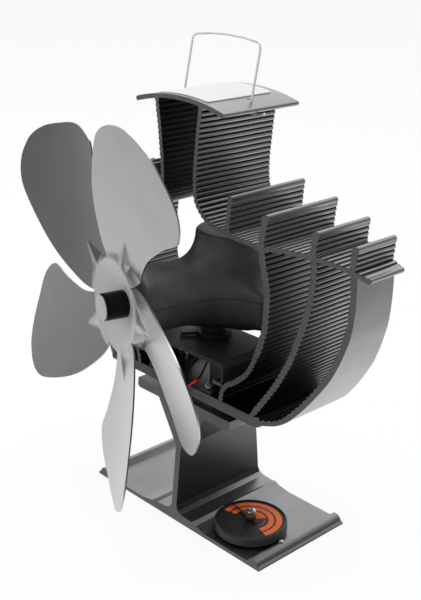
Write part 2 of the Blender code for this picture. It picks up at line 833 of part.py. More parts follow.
def module_stack(pad, ceramic, pellets):
    """Pads, ceramic faces and the pellet layer, pressed between platform and heat sink."""
    half = MODULE_SIDE / 2
    inner = half - PELLET_INSET
    layers = [
        ("hot_side_pad", half, PAD_THICKNESS, pad),
        ("hot_ceramic", half, CERAMIC_THICKNESS, ceramic),
        ("pellet_layer", inner, PELLET_THICKNESS, pellets),
        ("cold_ceramic", half, CERAMIC_THICKNESS, ceramic),
        ("cold_side_pad", half, PAD_THICKNESS, pad),
    ]
    space = PLATE_MIDDLE_Z - PLATE_HALF - PLATFORM_TOP
    gap = (space - sum(layer[2] for layer in layers)) / (len(layers) + 1)
    level = PLATFORM_TOP + gap
    for name, side, thickness, material in layers:
        slab(name, side, side, level, level + thickness, material)
        level += thickness + gap


def pan_screw(
    name,
    x,
    y,
    seat,
    length,
    material,
    head=CLAMP_HEAD_RADIUS,
    shank=CLAMP_SHANK_RADIUS,
    height=CLAMP_HEAD_HEIGHT,
    parent=None,
):
    """A pan-head screw, head up, its head's underside at the seat."""
    curve = min(CLAMP_HEAD_ROUND, height / 2)
    profile = [
        (0, seat - length),
        (shank, seat - length),
        (shank, seat),
        (head, seat),
        (head, seat + height - curve),
        (head - curve * ROUND_INSET_SHARE, seat + height - curve * ROUND_INSET_SHARE),
        (head - curve, seat + height),
        (0, seat + height),
    ]
    return revolve(name, profile, "Z", (x, y, 0), material, parent, SMALL_SEGMENTS)


def clamp_screws(steel):
    """Two screws beside the module that clamp the heat sink to the foot, each on a spring washer."""
    seat = PLATE_MIDDLE_Z + PLATE_HALF + SEAT_GAP
    for sign, side in ((1, "right"), (-1, "left")):
        x = CLAMP_SCREW_X * sign
        ring(
            "clamp_washer_" + side,
            CLAMP_SHANK_RADIUS + HOLE_GAP,
            WASHER_RADIUS,
            seat,
            seat + WASHER_THICKNESS,
            "Z",
            (x, MODULE_MIDDLE_Y, 0),
            steel,
            None,
            SMALL_SEGMENTS,
        )
        head = seat + WASHER_THICKNESS + SEAT_GAP
        length = head - PLATFORM_BOTTOM - SEAT_GAP
        pan_screw("clamp_screw_" + side, x, MODULE_MIDDLE_Y, head, length, steel)


def tray_screws(steel):
    """Two bright screws at the front that hold the tray's legs to the plate."""
    seat = PLATE_MIDDLE_Z + PLATE_HALF + 2 * SEAT_GAP + TRAY_LEG_SHEET
    for sign, side in ((1, "right"), (-1, "left")):
        pan_screw("tray_screw_" + side, TRAY_SCREW_X * sign, TRAY_SCREW_Y, seat, TRAY_SCREW_LENGTH, steel)


def wire_object(name, route, radius, material, parent=None):
    """A round wire along a list of points."""
    curve = bpy.data.curves.new(name, "CURVE")
    curve.dimensions = "3D"
    curve.bevel_depth = radius
    curve.bevel_resolution = 2
    curve.use_fill_caps = True
    spline = curve.splines.new("POLY")
    spline.points.add(len(route) - 1)
    for point, place in zip(spline.points, route):
        point.co = (*place, 1)
    curve.materials.append(material)
    return link(bpy.data.objects.new(name, curve), parent)


def bail_handle(steel):
    """The wire bail: two legs through the cap, hooked outwards below it, and a slightly raised top."""
    pivot_z = cap_height(HANDLE_HALF_WIDTH) - CAP_HALF
    pivot = empty("handle_axis", (0, PIVOT_Y, pivot_z))
    pivot.rotation_euler = (math.radians(-HANDLE_LEAN_DEG), 0, 0)
    side = HANDLE_HALF_WIDTH
    tip = side + HANDLE_HOOK_REACH
    low = -HANDLE_HOOK_DROP
    hook = HANDLE_HOOK_BEND
    bend = HANDLE_BEND
    right = [(tip, low + HANDLE_HOOK_LIFT), (tip - hook, low), (side + hook * 2, low)]
    right += arc((side + hook, low + hook), hook, -90, -180, ARC_STEPS - 2)
    right += [(side, HANDLE_HEIGHT / 2)]
    right += arc((side - bend, HANDLE_HEIGHT - bend), bend, 0, 90, ARC_STEPS)
    right += [(side / 2, HANDLE_HEIGHT + HANDLE_KINK * HANDLE_KINK_SHARE), (0, HANDLE_HEIGHT + HANDLE_KINK)]
    left = [(-x, z) for x, z in reversed(right[:-1])]
    route = [(x, 0, z) for x, z in right + left]
    return wire_object("bail_handle", route, HANDLE_WIRE_RADIUS, steel, pivot)


def cap_height(x):
    """Top of the arched cap at a distance from its middle."""
    return CAP_CROWN_Z - CAP_END_DROP * (x / CAP_HALF_WIDTH) ** 2


def rounded_rectangle(x0, x1, y0, y1, radius, steps=ARC_STEPS):
    """A rectangle with round corners, anticlockwise."""
    outline = arc((x1 - radius, y0 + radius), radius, -90, 0, steps)
    outline += arc((x1 - radius, y1 - radius), radius, 0, 90, steps)
    outline += arc((x0 + radius, y1 - radius), radius, 90, 180, steps)
    outline += arc((x0 + radius, y0 + radius), radius, 180, 270, steps)
    return outline


def label_plate(material):
    """The blank plate on the cap, following its arch."""
    count = 4 * ARC_STEPS
    xs = [LABEL_HALF_WIDTH * (2 * i / count - 1) for i in range(count + 1)]
    band = [(x, cap_height(x) + LABEL_GAP) for x in xs]
    band += [(x, cap_height(x) + LABEL_GAP + LABEL_THICKNESS) for x in reversed(xs)]
    obj = prism("label_plate", band, LABEL_FRONT, LABEL_BACK, "Y", material)
    plan = rounded_rectangle(
        -LABEL_HALF_WIDTH - OVERLAP,
        LABEL_HALF_WIDTH + OVERLAP,
        LABEL_FRONT - OVERLAP,
        LABEL_BACK + OVERLAP,
        LABEL_CORNER + OVERLAP,
    )
    low = CAP_CROWN_Z - CAP_END_DROP
    boolean(obj, prism("label_corners", plan, low, CAP_CROWN_Z + 2 * OVERLAP, "Z"), "INTERSECT")
    return obj


def tray(material):
    """The black tray on the heat sink's uprights: floor, rounded side rails, two front legs."""
    wide = TRAY_HALF_WIDTH
    section = [
        (wide, TRAY_BOTTOM),
        (wide, TRAY_TOP - TRAY_ROUND),
        *arc((wide - TRAY_ROUND, TRAY_TOP - TRAY_ROUND), TRAY_ROUND, 0, 90, ARC_STEPS - 2)[1:],
    ]
    inner = wide - TRAY_WALL
    floor = TRAY_TOP - TRAY_FLOOR
    section += mirrored(section)
    section += [(-inner, TRAY_BOTTOM), (-inner, floor), (inner, floor), (inner, TRAY_BOTTOM)]
    obj = prism("motor_tray", section, TRAY_FRONT, TRAY_BACK, "Y", material)
    seat = PLATE_MIDDLE_Z + PLATE_HALF + SEAT_GAP
    front = TRAY_FRONT
    for sign, side in ((1, "right"), (-1, "left")):
        leg = [
            (front, seat),
            (front + TRAY_LEG_DEPTH, seat),
            (front + TRAY_LEG_DEPTH, floor + OVERLAP),
            (front + TRAY_LEG_DEPTH - TRAY_LEG_SHEET, floor + OVERLAP),
            (front + TRAY_LEG_DEPTH - TRAY_LEG_SHEET, seat + TRAY_LEG_SHEET),
            (front, seat + TRAY_LEG_SHEET),
        ]
        x = TRAY_LEG_X * sign
        boolean(obj, prism("tray_leg_" + side, leg, x - TRAY_LEG_HALF, x + TRAY_LEG_HALF, "X"), "UNION")
        hole = cylinder(
            "tray_leg_hole_" + side,
            CLAMP_SHANK_RADIUS + HOLE_GAP,
            seat - OVERLAP,
            seat + TRAY_LEG_SHEET + OVERLAP,
            "Z",
            (TRAY_SCREW_X * sign, TRAY_SCREW_Y, 0),
        )
        boolean(obj, hole, "DIFFERENCE")
    pin = cylinder(
        "tray_pin_hole", PIN_RADIUS + HOLE_GAP, floor - OVERLAP, TRAY_TOP + OVERLAP, "Z", (0, PIVOT_Y, 0)
    )
    boolean(obj, pin, "DIFFERENCE")
    return obj


def barrel_section(y, inset):
    """Half width, rise and drop of the barrel at a depth: round at the nose, blended up to the tower."""
    width = rise = BARREL_RADIUS
    nose = BARREL_FRONT + BARREL_ROUND
    if y < nose:
        share = (nose - y) / BARREL_ROUND
        shrink = BARREL_ROUND * (1 - math.sqrt(max(0, 1 - share**2)))
        width = rise = BARREL_RADIUS - shrink
    drop = rise
    if y > BARREL_BLEND_START:
        share = min(1, (y - BARREL_BLEND_START) / (BARREL_BLEND_END - BARREL_BLEND_START))
        lift = 1 - math.sqrt(1 - share**2)
        rise += BARREL_BLEND_RISE * lift
        width += BARREL_BLEND_WIDEN * lift
    return width - inset, rise - inset, drop - inset


def barrel(name, inset, material=None, parent=None):
    """The barrel as sections along its axis."""
    front = BARREL_FRONT + inset
    nose = BARREL_FRONT + BARREL_ROUND
    curve = [math.sin(math.radians(90 * i / ARC_STEPS)) for i in range(ARC_STEPS + 1)]
    stations = [max(nose - BARREL_ROUND * share, front) for share in curve]
    span = BARREL_BLEND_END - BARREL_BLEND_START
    stations += [BARREL_BLEND_START + span * share for share in curve]
    stations.append(BARREL_BACK - inset)
    stations = sorted(set(stations))
    points = []
    for y in stations:
        width, rise, drop = barrel_section(y, inset)
        for i in range(BARREL_SEGMENTS):
            angle = math.tau * i / BARREL_SEGMENTS
            up = math.sin(angle)
            points.append((width * math.cos(angle), y, AXIS_Z + up * (rise if up > 0 else drop)))
    count = BARREL_SEGMENTS
    faces = [list(range(count)), list(range(len(points) - count, len(points)))]
    for row in range(len(stations) - 1):
        for i in range(count):
            j = (i + 1) % count
            a, b = row * count, (row + 1) * count
            faces.append([a + i, b + i, b + j, a + j])
    return mesh_object(name, points, faces, material, parent, True)


def tower(name, inset, parent=None):
    """The round tower behind the barrel."""
    top = TOWER_TOP - inset
    low = BODY_BOTTOM + inset
    rim = TOWER_RIM
    profile = [
        (0, low),
        (TOWER_LOW_RADIUS - inset, low),
        (TOWER_LOW_RADIUS - inset, BODY_TOP + BARREL_ROUND),
        (TOWER_TOP_RADIUS - inset, top - rim),
        (TOWER_TOP_RADIUS - inset - rim * ROUND_INSET_SHARE, top - rim * ROUND_INSET_SHARE),
        (TOWER_TOP_RADIUS - inset - rim, top),
        (0, top),
    ]
    return revolve(name, profile, "Z", (0, TOWER_MIDDLE_Y, 0), None, parent, TOWER_SEGMENTS)


def body_plan(inset):
    """Plan of the wide lower body: neck along the barrel, a hollow round flare, square shoulders."""
    flare = BODY_HALF_WIDTH - BODY_CORNER - BODY_NECK_HALF
    drop = BODY_FRONT - BODY_NECK_Y
    right = [(BODY_NECK_HALF - inset, BODY_NECK_Y - BODY_CORNER)]
    for i in range(CURVE_STEPS - 1):
        angle = math.radians(90 * i / (CURVE_STEPS - 2))
        right.append(
            (
                BODY_NECK_HALF + flare * (1 - math.cos(angle)) - inset * math.cos(angle),
                BODY_NECK_Y + drop * math.sin(angle) + inset * math.sin(angle),
            )
        )
    corner = BODY_CORNER - inset
    middle = BODY_HALF_WIDTH - BODY_CORNER
    right += arc((middle, BODY_FRONT + BODY_CORNER), corner, -90, 0, ARC_STEPS)[1:]
    right += arc((middle, BODY_BACK - BODY_CORNER), corner, 0, 90, ARC_STEPS)
    return right + mirrored(right)


def body(name, inset, parent=None):
    """The wide lower body with softened top and bottom edges."""
    low = BODY_BOTTOM + inset
    high = BODY_TOP - inset
    levels = [
        (low, inset + BODY_EDGE),
        (low + BODY_EDGE, inset),
        (high - BODY_EDGE, inset),
        (high, inset + BODY_EDGE),
    ]
    rings = [body_plan(edge) for level, edge in levels]
    count = len(rings[0])
    points = [(x, y, level) for outline, (level, _) in zip(rings, levels) for x, y in outline]
    faces = [list(range(count)), list(range(3 * count, 4 * count))]
    for row in range(3):
        for i in range(count):
            j = (i + 1) % count
            a, b = row * count, (row + 1) * count
            faces.append([a + i, a + j, b + j, b + i])
    return mesh_object(name, points, faces, None, parent)


def head_block(name, low, high, parent):
    """A block that keeps one side of the seam."""
    wide = BODY_HALF_WIDTH * 2
    outline = [(-wide, -wide), (wide, -wide), (wide, wide), (-wide, wide)]
    return prism(name, outline, low, high, "Z", None, parent)


def head_shells(plastic, frame):
    """Upper and lower shell of the head, split at the seam, hollow inside."""
    walls = [(tower("tower_outside", 0, frame), "UNION"), (body("body_outside", 0, frame), "UNION")]
    hollows = [
        barrel("barrel_inside", SHELL_WALL, None, frame),
        tower("tower_inside", SHELL_WALL, frame),
        body("body_inside", SHELL_WALL, frame),
    ]
    nose_low = BARREL_FRONT - OVERLAP
    nose_high = BARREL_FRONT + 2 * SHELL_WALL
    axis = (0, 0, AXIS_Z)
    nose = cylinder("nose_hole", NOSE_HOLE_RADIUS, nose_low, nose_high, "Y", axis, None, frame)
    upper_block = head_block("above_seam", SEAM_Z + SEAM_GAP / 2, TOWER_TOP + BODY_EDGE, frame)
    lower_block = head_block("below_seam", BODY_BOTTOM - BARREL_RADIUS, SEAM_Z - SEAM_GAP / 2, frame)
    shells = {}
    for name, block in (("head_upper_shell", upper_block), ("head_lower_shell", lower_block)):
        shell = barrel(name, 0, plastic, frame)
        for wall, operation in walls:
            boolean(shell, wall, operation)
        for hollow in hollows + [nose]:
            boolean(shell, hollow, "DIFFERENCE")
        boolean(shell, block, "INTERSECT")
        shells[name] = shell
    for sign in (1, -1):
        centre = (HEAD_SCREW_X * sign, HEAD_SCREW_Y, 0)
        upper = cylinder(
            f"upper_boss_{sign}",
            HEAD_BOSS_RADIUS,
            SEAM_Z + SEAM_GAP / 2,
            BODY_TOP - SHELL_WALL / 2,
            "Z",
            centre,
            None,
            frame,
        )
        lower = cylinder(
            f"lower_boss_{sign}",
            HEAD_BOSS_RADIUS,
            BODY_BOTTOM + SHELL_WALL / 2,
            SEAM_Z - SEAM_GAP / 2,
            "Z",
            centre,
            None,
            frame,
        )
        hole = cylinder(
            f"head_screw_hole_{sign}",
            HEAD_SCREW_RADIUS + HOLE_GAP,
            BODY_BOTTOM - OVERLAP,
            BODY_BOTTOM + HEAD_SCREW_LENGTH + 2 * HOLE_GAP + HEAD_SCREW_HEAD_HEIGHT,
            "Z",
            centre,
            None,
            frame,
        )
        sink = cylinder(
            f"head_screw_sink_{sign}",
            HEAD_SCREW_HEAD + HOLE_GAP,
            BODY_BOTTOM - OVERLAP,
            BODY_BOTTOM + HEAD_SCREW_HEAD_HEIGHT + HOLE_GAP,
            "Z",
            centre,
            None,
            frame,
        )
        boolean(shells["head_upper_shell"], upper, "UNION")
        boolean(shells["head_lower_shell"], lower, "UNION")
        boolean(shells["head_upper_shell"], hole, "DIFFERENCE")
        boolean(shells["head_lower_shell"], hole, "DIFFERENCE")
        boolean(shells["head_lower_shell"], sink, "DIFFERENCE")
    pin = cylinder(
        "head_pin_hole",
        PIN_RADIUS + HOLE_GAP,
        AXIS_Z - BARREL_RADIUS - OVERLAP,
        AXIS_Z - BARREL_RADIUS + 2 * SHELL_WALL + OVERLAP,
        "Z",
        (0, 0, 0),
        None,
        frame,
    )
    boolean(shells["head_lower_shell"], pin, "DIFFERENCE")
    return shells


def pivot(plastic, steel, fixed, turning):
    """Collar under the head, hollow pin through tray and head, and the clip that keeps the head down."""
    low = TRAY_TOP + SEAT_GAP
    bore = PIN_RADIUS + HOLE_GAP
    top = AXIS_Z - BARREL_RADIUS + COLLAR_RADIUS
    profile = [
        (bore, low),
        (COLLAR_FLANGE_RADIUS, low),
        (COLLAR_FLANGE_RADIUS, low + COLLAR_FLANGE),
        (COLLAR_RADIUS, low + COLLAR_FLANGE),
        (COLLAR_RADIUS, top),
        (bore, top),
    ]
    collar = revolve("pivot_collar", profile, "Z", (0, 0, 0), plastic, turning)
    length = math.hypot(ARM_SIDE, ARM_FRONT)
    along = (ARM_SIDE / length, ARM_FRONT / length)
    start = COLLAR_RADIUS - OVERLAP
    half = ARM_HALF_WIDTH
    arm = [
        (along[0] * start - along[1] * half, along[1] * start + along[0] * half),
        (along[0] * length - along[1] * half, along[1] * length + along[0] * half),
        (along[0] * length + along[1] * half, along[1] * length - along[0] * half),
        (along[0] * start + along[1] * half, along[1] * start - along[0] * half),
    ]
    arm_low = low + OVERLAP
    boolean(collar, prism("collar_arm", arm, arm_low, arm_low + ARM_THICKNESS, "Z", None, turning), "UNION")
    saddle = cylinder(
        "collar_saddle",
        BARREL_RADIUS + HOLE_GAP,
        -BARREL_RADIUS,
        BARREL_RADIUS,
        "Y",
        (0, 0, AXIS_Z),
        None,
        turning,
        BARREL_SEGMENTS,
    )
    boolean(collar, saddle, "DIFFERENCE")
    seat = TRAY_TOP - TRAY_FLOOR - SEAT_GAP
    pin = [
        (PIN_BORE, seat - PIN_HEAD),
        (PIN_HEAD_RADIUS, seat - PIN_HEAD),
        (PIN_HEAD_RADIUS, seat),
        (PIN_RADIUS, seat),
        (PIN_RADIUS, PIN_TOP),
        (PIN_BORE, PIN_TOP),
    ]
    revolve("pivot_pin", pin, "Z", (0, 0, 0), steel, fixed, SMALL_SEGMENTS)
    inside = AXIS_Z - BARREL_RADIUS + SHELL_WALL
    inside += BARREL_RADIUS - SHELL_WALL - math.sqrt((BARREL_RADIUS - SHELL_WALL) ** 2 - CLIP_RADIUS**2)
    clip_low = inside + SEAT_GAP
    ring(
        "pivot_clip",
        PIN_RADIUS + FIT_GAP,
        CLIP_RADIUS,
        clip_low,
        clip_low + CLIP_THICKNESS,
        "Z",
        (0, 0, 0),
        steel,
        fixed,
        SMALL_SEGMENTS,
    )


def head_screws(steel, frame):
    """Two screws from below that hold the shells together."""
    for sign, side in ((1, "right"), (-1, "left")):
        low = BODY_BOTTOM + HOLE_GAP / 2
        seat = low + HEAD_SCREW_HEAD_HEIGHT - HOLE_GAP / 2
        profile = [
            (0, low),
            (HEAD_SCREW_HEAD, low),
            (HEAD_SCREW_HEAD, seat),
            (HEAD_SCREW_RADIUS, seat),
            (HEAD_SCREW_RADIUS, low + HEAD_SCREW_LENGTH),
            (0, low + HEAD_SCREW_LENGTH),
        ]
        place = (HEAD_SCREW_X * sign, HEAD_SCREW_Y, 0)
        revolve("head_screw_" + side, profile, "Z", place, steel, frame, SMALL_SEGMENTS)


def motor_case(steel, plastic, bronze, ferrite, copper, rubber, frame):
    """The fixed pieces of the small motor, with its axis along the frame's Y."""
    middle = (0, 0, 0)
    back = MOTOR_FRONT + MOTOR_LENGTH
    hole = BEARING_RADIUS + FIT_GAP
    inner = MOTOR_RADIUS - MOTOR_WALL
    can = [
        (hole, MOTOR_FRONT - MOTOR_NOSE),
        (MOTOR_NOSE_RADIUS, MOTOR_FRONT - MOTOR_NOSE),
        (MOTOR_NOSE_RADIUS, MOTOR_FRONT),
        (MOTOR_RADIUS, MOTOR_FRONT),
        (MOTOR_RADIUS, back),
        (inner, back),
        (inner, MOTOR_FRONT + MOTOR_WALL),
        (hole, MOTOR_FRONT + MOTOR_WALL),
    ]
    revolve("motor_can", can, "Y", middle, steel, frame)
    cap_front = back - END_CAP_THICKNESS
    ring("motor_end_cap", hole, inner - FIT_GAP, cap_front, back, "Y", middle, plastic, frame)
    bore = SHAFT_RADIUS + FIT_GAP
    front_bearing = MOTOR_FRONT - MOTOR_NOSE
    for name, low in (("front_bearing", front_bearing), ("rear_bearing", cap_front)):
        high = low + BEARING_LENGTH
        ring(name, bore, BEARING_RADIUS, low, high, "Y", middle, bronze, frame, SMALL_SEGMENTS)
    outer = inner - HOLE_GAP
    low = CORE_FRONT + (CORE_LENGTH - MAGNET_LENGTH) / 2
    for side, turn in (("right", 0), ("left", 180)):
        shape = arc((0, 0), outer, turn - MAGNET_HALF_DEG, turn + MAGNET_HALF_DEG, 2 * ARC_STEPS)
        shape += arc(
            (0, 0), outer - MAGNET_THICKNESS, turn + MAGNET_HALF_DEG, turn - MAGNET_HALF_DEG, 2 * ARC_STEPS
        )
        prism("magnet_" + side, shape, low, low + MAGNET_LENGTH, "Y", ferrite, frame)
    tip = cap_front - COMMUTATOR_GAP - COMMUTATOR_LENGTH * BRUSH_REACH_SHARE
    touch = COMMUTATOR_RADIUS + FIT_GAP
    for sign, side in ((1, "right"), (-1, "left")):
        shape = [
            (touch * sign, tip),
            ((touch + BRUSH_SHEET) * sign, tip),
            ((touch + BRUSH_SHEET + BRUSH_FLARE) * sign, cap_front - FIT_GAP),
            ((touch + BRUSH_FLARE) * sign, cap_front - FIT_GAP),
        ]
        prism("brush_" + side, shape, -BRUSH_WIDTH / 2, BRUSH_WIDTH / 2, "Z", copper, frame)
    low = MOTOR_FRONT + (MOTOR_LENGTH - SLEEVE_LENGTH) / 2
    outside = BARREL_RADIUS - SHELL_WALL - HOLE_GAP
    ring(
        "motor_sleeve",
        MOTOR_RADIUS + FIT_GAP,
        outside,
        low,
        low + SLEEVE_LENGTH,
        "Y",
        middle,
        rubber,
        frame,
    )


def armature(steel, iron, copper, frame):
    """Shaft, three-pole core, its windings and the commutator."""
    middle = (0, 0, 0)
    cylinder("motor_shaft", SHAFT_RADIUS, SHAFT_FRONT, SHAFT_BACK, "Y", middle, steel, frame)
    shoe = CORE_RADIUS - CORE_POLE_RIM
    arm = CORE_ARM_HALF
    outline = []
    for pole in range(CORE_POLE_COUNT):
        turn = 90 + 360 * pole / CORE_POLE_COUNT
        foot_deg = math.degrees(math.asin(arm / CORE_MIDDLE_RADIUS))
        neck_deg = math.degrees(math.asin(arm / shoe))
        outline += arc((0, 0), CORE_MIDDLE_RADIUS, turn - foot_deg, turn - foot_deg, 1)[:1]
        outline += arc((0, 0), shoe, turn - neck_deg, turn - CORE_POLE_HALF_DEG, ARC_STEPS - 2)
        outline += arc(
            (0, 0), CORE_RADIUS, turn - CORE_POLE_HALF_DEG, turn + CORE_POLE_HALF_DEG, 2 * ARC_STEPS
        )
        outline += arc((0, 0), shoe, turn + CORE_POLE_HALF_DEG, turn + neck_deg, ARC_STEPS - 2)
        outline += arc((0, 0), CORE_MIDDLE_RADIUS, turn + foot_deg, turn + foot_deg, 1)[:1]
    back = CORE_FRONT + CORE_LENGTH
    core = prism("armature_core", outline, CORE_FRONT, back, "Y", iron, frame)
    bore = cylinder(
        "core_bore", SHAFT_RADIUS + FIT_GAP, CORE_FRONT - OVERLAP, back + OVERLAP, "Y", middle, None, frame
    )
    boolean(core, bore, "DIFFERENCE")
    half_long = CORE_LENGTH / 2 + WINDING_GAP
    half_wide = CORE_ARM_HALF + WINDING_GAP
    for pole in range(CORE_POLE_COUNT):
        turn = math.radians(90 + 360 * pole / CORE_POLE_COUNT)
        winding = tube_prism(
            f"winding_{pole + 1}",
            half_wide,
            half_long,
            WINDING_THICKNESS,
            WINDING_INNER,
            WINDING_OUTER,
            copper,
        )
        winding.parent = frame
        winding.location = (0, CORE_FRONT + CORE_LENGTH / 2, 0)
        winding.rotation_euler = (0, -turn, 0)
    end = MOTOR_FRONT + MOTOR_LENGTH - END_CAP_THICKNESS - COMMUTATOR_GAP
    ring(
        "commutator",
        SHAFT_RADIUS + FIT_GAP,
        COMMUTATOR_RADIUS,
        end - COMMUTATOR_LENGTH,
        end,
        "Y",
        middle,
        copper,
        frame,
        SMALL_SEGMENTS,
    )


def tube_prism(name, half_wide, half_long, thickness, low, high, material):
    """A rounded rectangular coil around the X axis: wide along Z, long along Y, from low to high."""
    corner = half_wide * WINDING_CORNER_SHARE
    inner = rounded_rectangle(-half_long, half_long, -half_wide, half_wide, corner, 1)
    outer = rounded_rectangle(
        -half_long - thickness,
        half_long + thickness,
        -half_wide - thickness,
        half_wide + thickness,
        corner + thickness,
        1,
    )
    count = len(inner)
    rings = ((inner, low), (outer, low), (outer, high), (inner, high))
    points = [(level, y, z) for outline, level in rings for y, z in outline]
    faces = []
    for row in range(4):
        for i in range(count):
            j = (i + 1) % count
            a, b = row * count, (row + 1) % 4 * count
            faces.append([a + i, a + j, b + j, b + i])
    return mesh_object(name, points, faces, material)


def smooth_step(share):
    """0 below 0, 1 above 1, with soft ends."""
    share = min(1, max(0, share))
    return share * share * (3 - 2 * share)


def blade_depth(along, across):
    """How far the sheet stands off its flat plane at a place on a blade."""
    radius = math.hypot(along, across)
    formed = smooth_step((radius - FLAT_RADIUS) / (FORMED_RADIUS - FLAT_RADIUS))
    s = along / BLADE_UNIT_REACH
    t = across / BLADE_UNIT_SIDE
    return formed * (BLADE_LEAN * s + BLADE_PITCH * t + BLADE_CAMBER * t * t + BLADE_TWIST * s * t)


def at_share(points, share):
    """The point at a share of the length of a line."""
    lengths = [0]
    for a, b in zip(points, points[1:]):
        lengths.append(lengths[-1] + (b - a).length)
    want = lengths[-1] * share
    for i, (start, end) in enumerate(zip(lengths, lengths[1:])):
        if want <= end:
            return points[i].lerp(points[i + 1], (want - start) / (end - start))
    return points[-1]


def blade_grid():
    """Rows of places on one blade, from the notch circle to the tip, spanned between its four edges."""
    width_deg = 360 / BLADE_COUNT
    notches = arc((0, 0), NOTCH_RADIUS, NOTCH_DEG, NOTCH_DEG + width_deg, BLADE_CHORD_COUNT)
    root = [Vector(p) for p in notches]
    right = curve_points([root[0]] + BLADE_RIGHT_EDGE, CURVE_STEPS)
    left = curve_points([root[-1]] + BLADE_LEFT_EDGE, CURVE_STEPS)
    tip = curve_points(BLADE_TIP_EDGE, CURVE_STEPS)
    rows = []
    for u in BLADE_ROW_SHARES:
        side_a = at_share(right, u)
        side_b = at_share(left, u)
        row = []
        for i in range(BLADE_CHORD_COUNT + 1):
            v = i / BLADE_CHORD_COUNT
            ruled = side_a * (1 - v) + side_b * v + root[i] * (1 - u) + at_share(tip, v) * u
            corners = (root[0] * (1 - v) + root[-1] * v) * (1 - u) + (tip[0] * (1 - v) + tip[-1] * v) * u
            row.append(ruled - corners)
        rows.append(row)
    return rows


def fan_blades(material, frame):
    """The five-blade sheet: a flat middle with a hole, notches between the arms, dished blades."""
    places = []
    faces = []
    total = BLADE_COUNT * BLADE_CHORD_COUNT
    circles = [HUB_SPIGOT_RADIUS + FIT_GAP, *PLATE_RINGS, NOTCH_RADIUS]
    for radius in circles:
        for i in range(total):
            angle = math.radians(BLADE_FIRST_DEG + NOTCH_DEG + 360 * i / total)
            places.append((radius * math.cos(angle), 0, radius * math.sin(angle)))
    for row in range(len(circles) - 1):
        for i in range(total):
            j = (i + 1) % total
            a, b = row * total, (row + 1) * total
            faces.append([a + i, a + j, b + j, b + i])
    last = (len(circles) - 1) * total
    grid = blade_grid()
    for blade in range(BLADE_COUNT):
        turn = math.radians(BLADE_FIRST_DEG + 360 * blade / BLADE_COUNT)
        rows = [[last + (blade * BLADE_CHORD_COUNT + i) % total for i in range(BLADE_CHORD_COUNT + 1)]]
        for row in grid[1:]:
            indices = []
            for s, t in row:
                indices.append(len(places))
                places.append(
                    (
                        s * math.cos(turn) - t * math.sin(turn),
                        blade_depth(s, t),
                        s * math.sin(turn) + t * math.cos(turn),
                    )
                )
            rows.append(indices)
        for lower, upper in zip(rows, rows[1:]):
            for i in range(BLADE_CHORD_COUNT):
                faces.append([lower[i], lower[i + 1], upper[i + 1], upper[i]])
    count = len(places)
    half = BLADE_SHEET / 2
    points = [(x, BLADE_PLANE + y - half, z) for x, y, z in places]
    points += [(x, BLADE_PLANE + y + half, z) for x, y, z in places]
    uses = {}
    for face in faces:
        for a, b in zip(face, face[1:] + face[:1]):
            uses.setdefault((min(a, b), max(a, b)), []).append((a, b))
    solid = [list(face) for face in faces]
    solid += [[count + i for i in reversed(face)] for face in faces]
    solid += [[b, a, count + a, count + b] for (a, b), *more in uses.values() if not more]
    return mesh_object("fan_blades", points, solid, material, frame, True)


def hub(gloss, silver, plastic, frame):
    """Black boss on the shaft, its silver front disc, and the collar behind the sheet."""
    middle = (0, 0, 0)
    plate_front = BLADE_PLANE - BLADE_SHEET / 2 - FIT_GAP
    plate_back = BLADE_PLANE + BLADE_SHEET / 2 + FIT_GAP
    collar_back = plate_back + COLLAR_NUT_LENGTH
    bore = SHAFT_RADIUS + FIT_GAP
    boss = [(0, HUB_FRONT)]
    boss += arc((HUB_RADIUS - HUB_ROUND, HUB_FRONT + HUB_ROUND), HUB_ROUND, -90, 0)
    boss += [
        (HUB_RADIUS, plate_front),
        (HUB_SPIGOT_RADIUS, plate_front),
        (HUB_SPIGOT_RADIUS, collar_back),
        (bore, collar_back),
        (bore, SHAFT_FRONT - FIT_GAP),
        (0, SHAFT_FRONT - FIT_GAP),
    ]
    revolve("hub_boss", boss, "Y", middle, gloss, frame)
    disc_back = HUB_FRONT - FIT_GAP
    cylinder(
        "hub_disc",
        HUB_DISC_RADIUS,
        disc_back - HUB_DISC_THICKNESS,
        disc_back,
        "Y",
        middle,
        silver,
        frame,
        ROUND_SEGMENTS,
    )
    ring(
        "hub_collar",
        HUB_SPIGOT_RADIUS + FIT_GAP,
        COLLAR_NUT_RADIUS,
        plate_back,
        collar_back,
        "Y",
        middle,
        plastic,
        frame,
        SMALL_SEGMENTS,
    )


def leads(red, black):
    """Two insulated leads from the module, round the plate's front edge and up through the hollow pin."""
    turn = Matrix.Rotation(math.radians(HEAD_TURN_DEG), 3, "Z")
    for name, low, side, material in (
        ("red_lead", RED_LEAD_LOW, 1, red),
        ("black_lead", BLACK_LEAD_LOW, -1, black),
    ):
        keys = [Vector((low[0][0], LEAD_START_Y, low[0][2]))]
        keys += [Vector(p) for p in low]
        for z in (TRAY_TOP - LEAD_PIN_DROP, PIN_TOP + LEAD_PIN_RISE):
            keys.append(Vector((LEAD_SIDE * side, PIVOT_Y, z)))
        keys += [turn @ Vector((x * side, y, z)) + Vector((0, PIVOT_Y, AXIS_Z)) for x, y, z in LEAD_HIGH]
        wire_object(name, evenly(curve_points(keys, CURVE_STEPS), LEAD_STEP), LEAD_RADIUS, material)


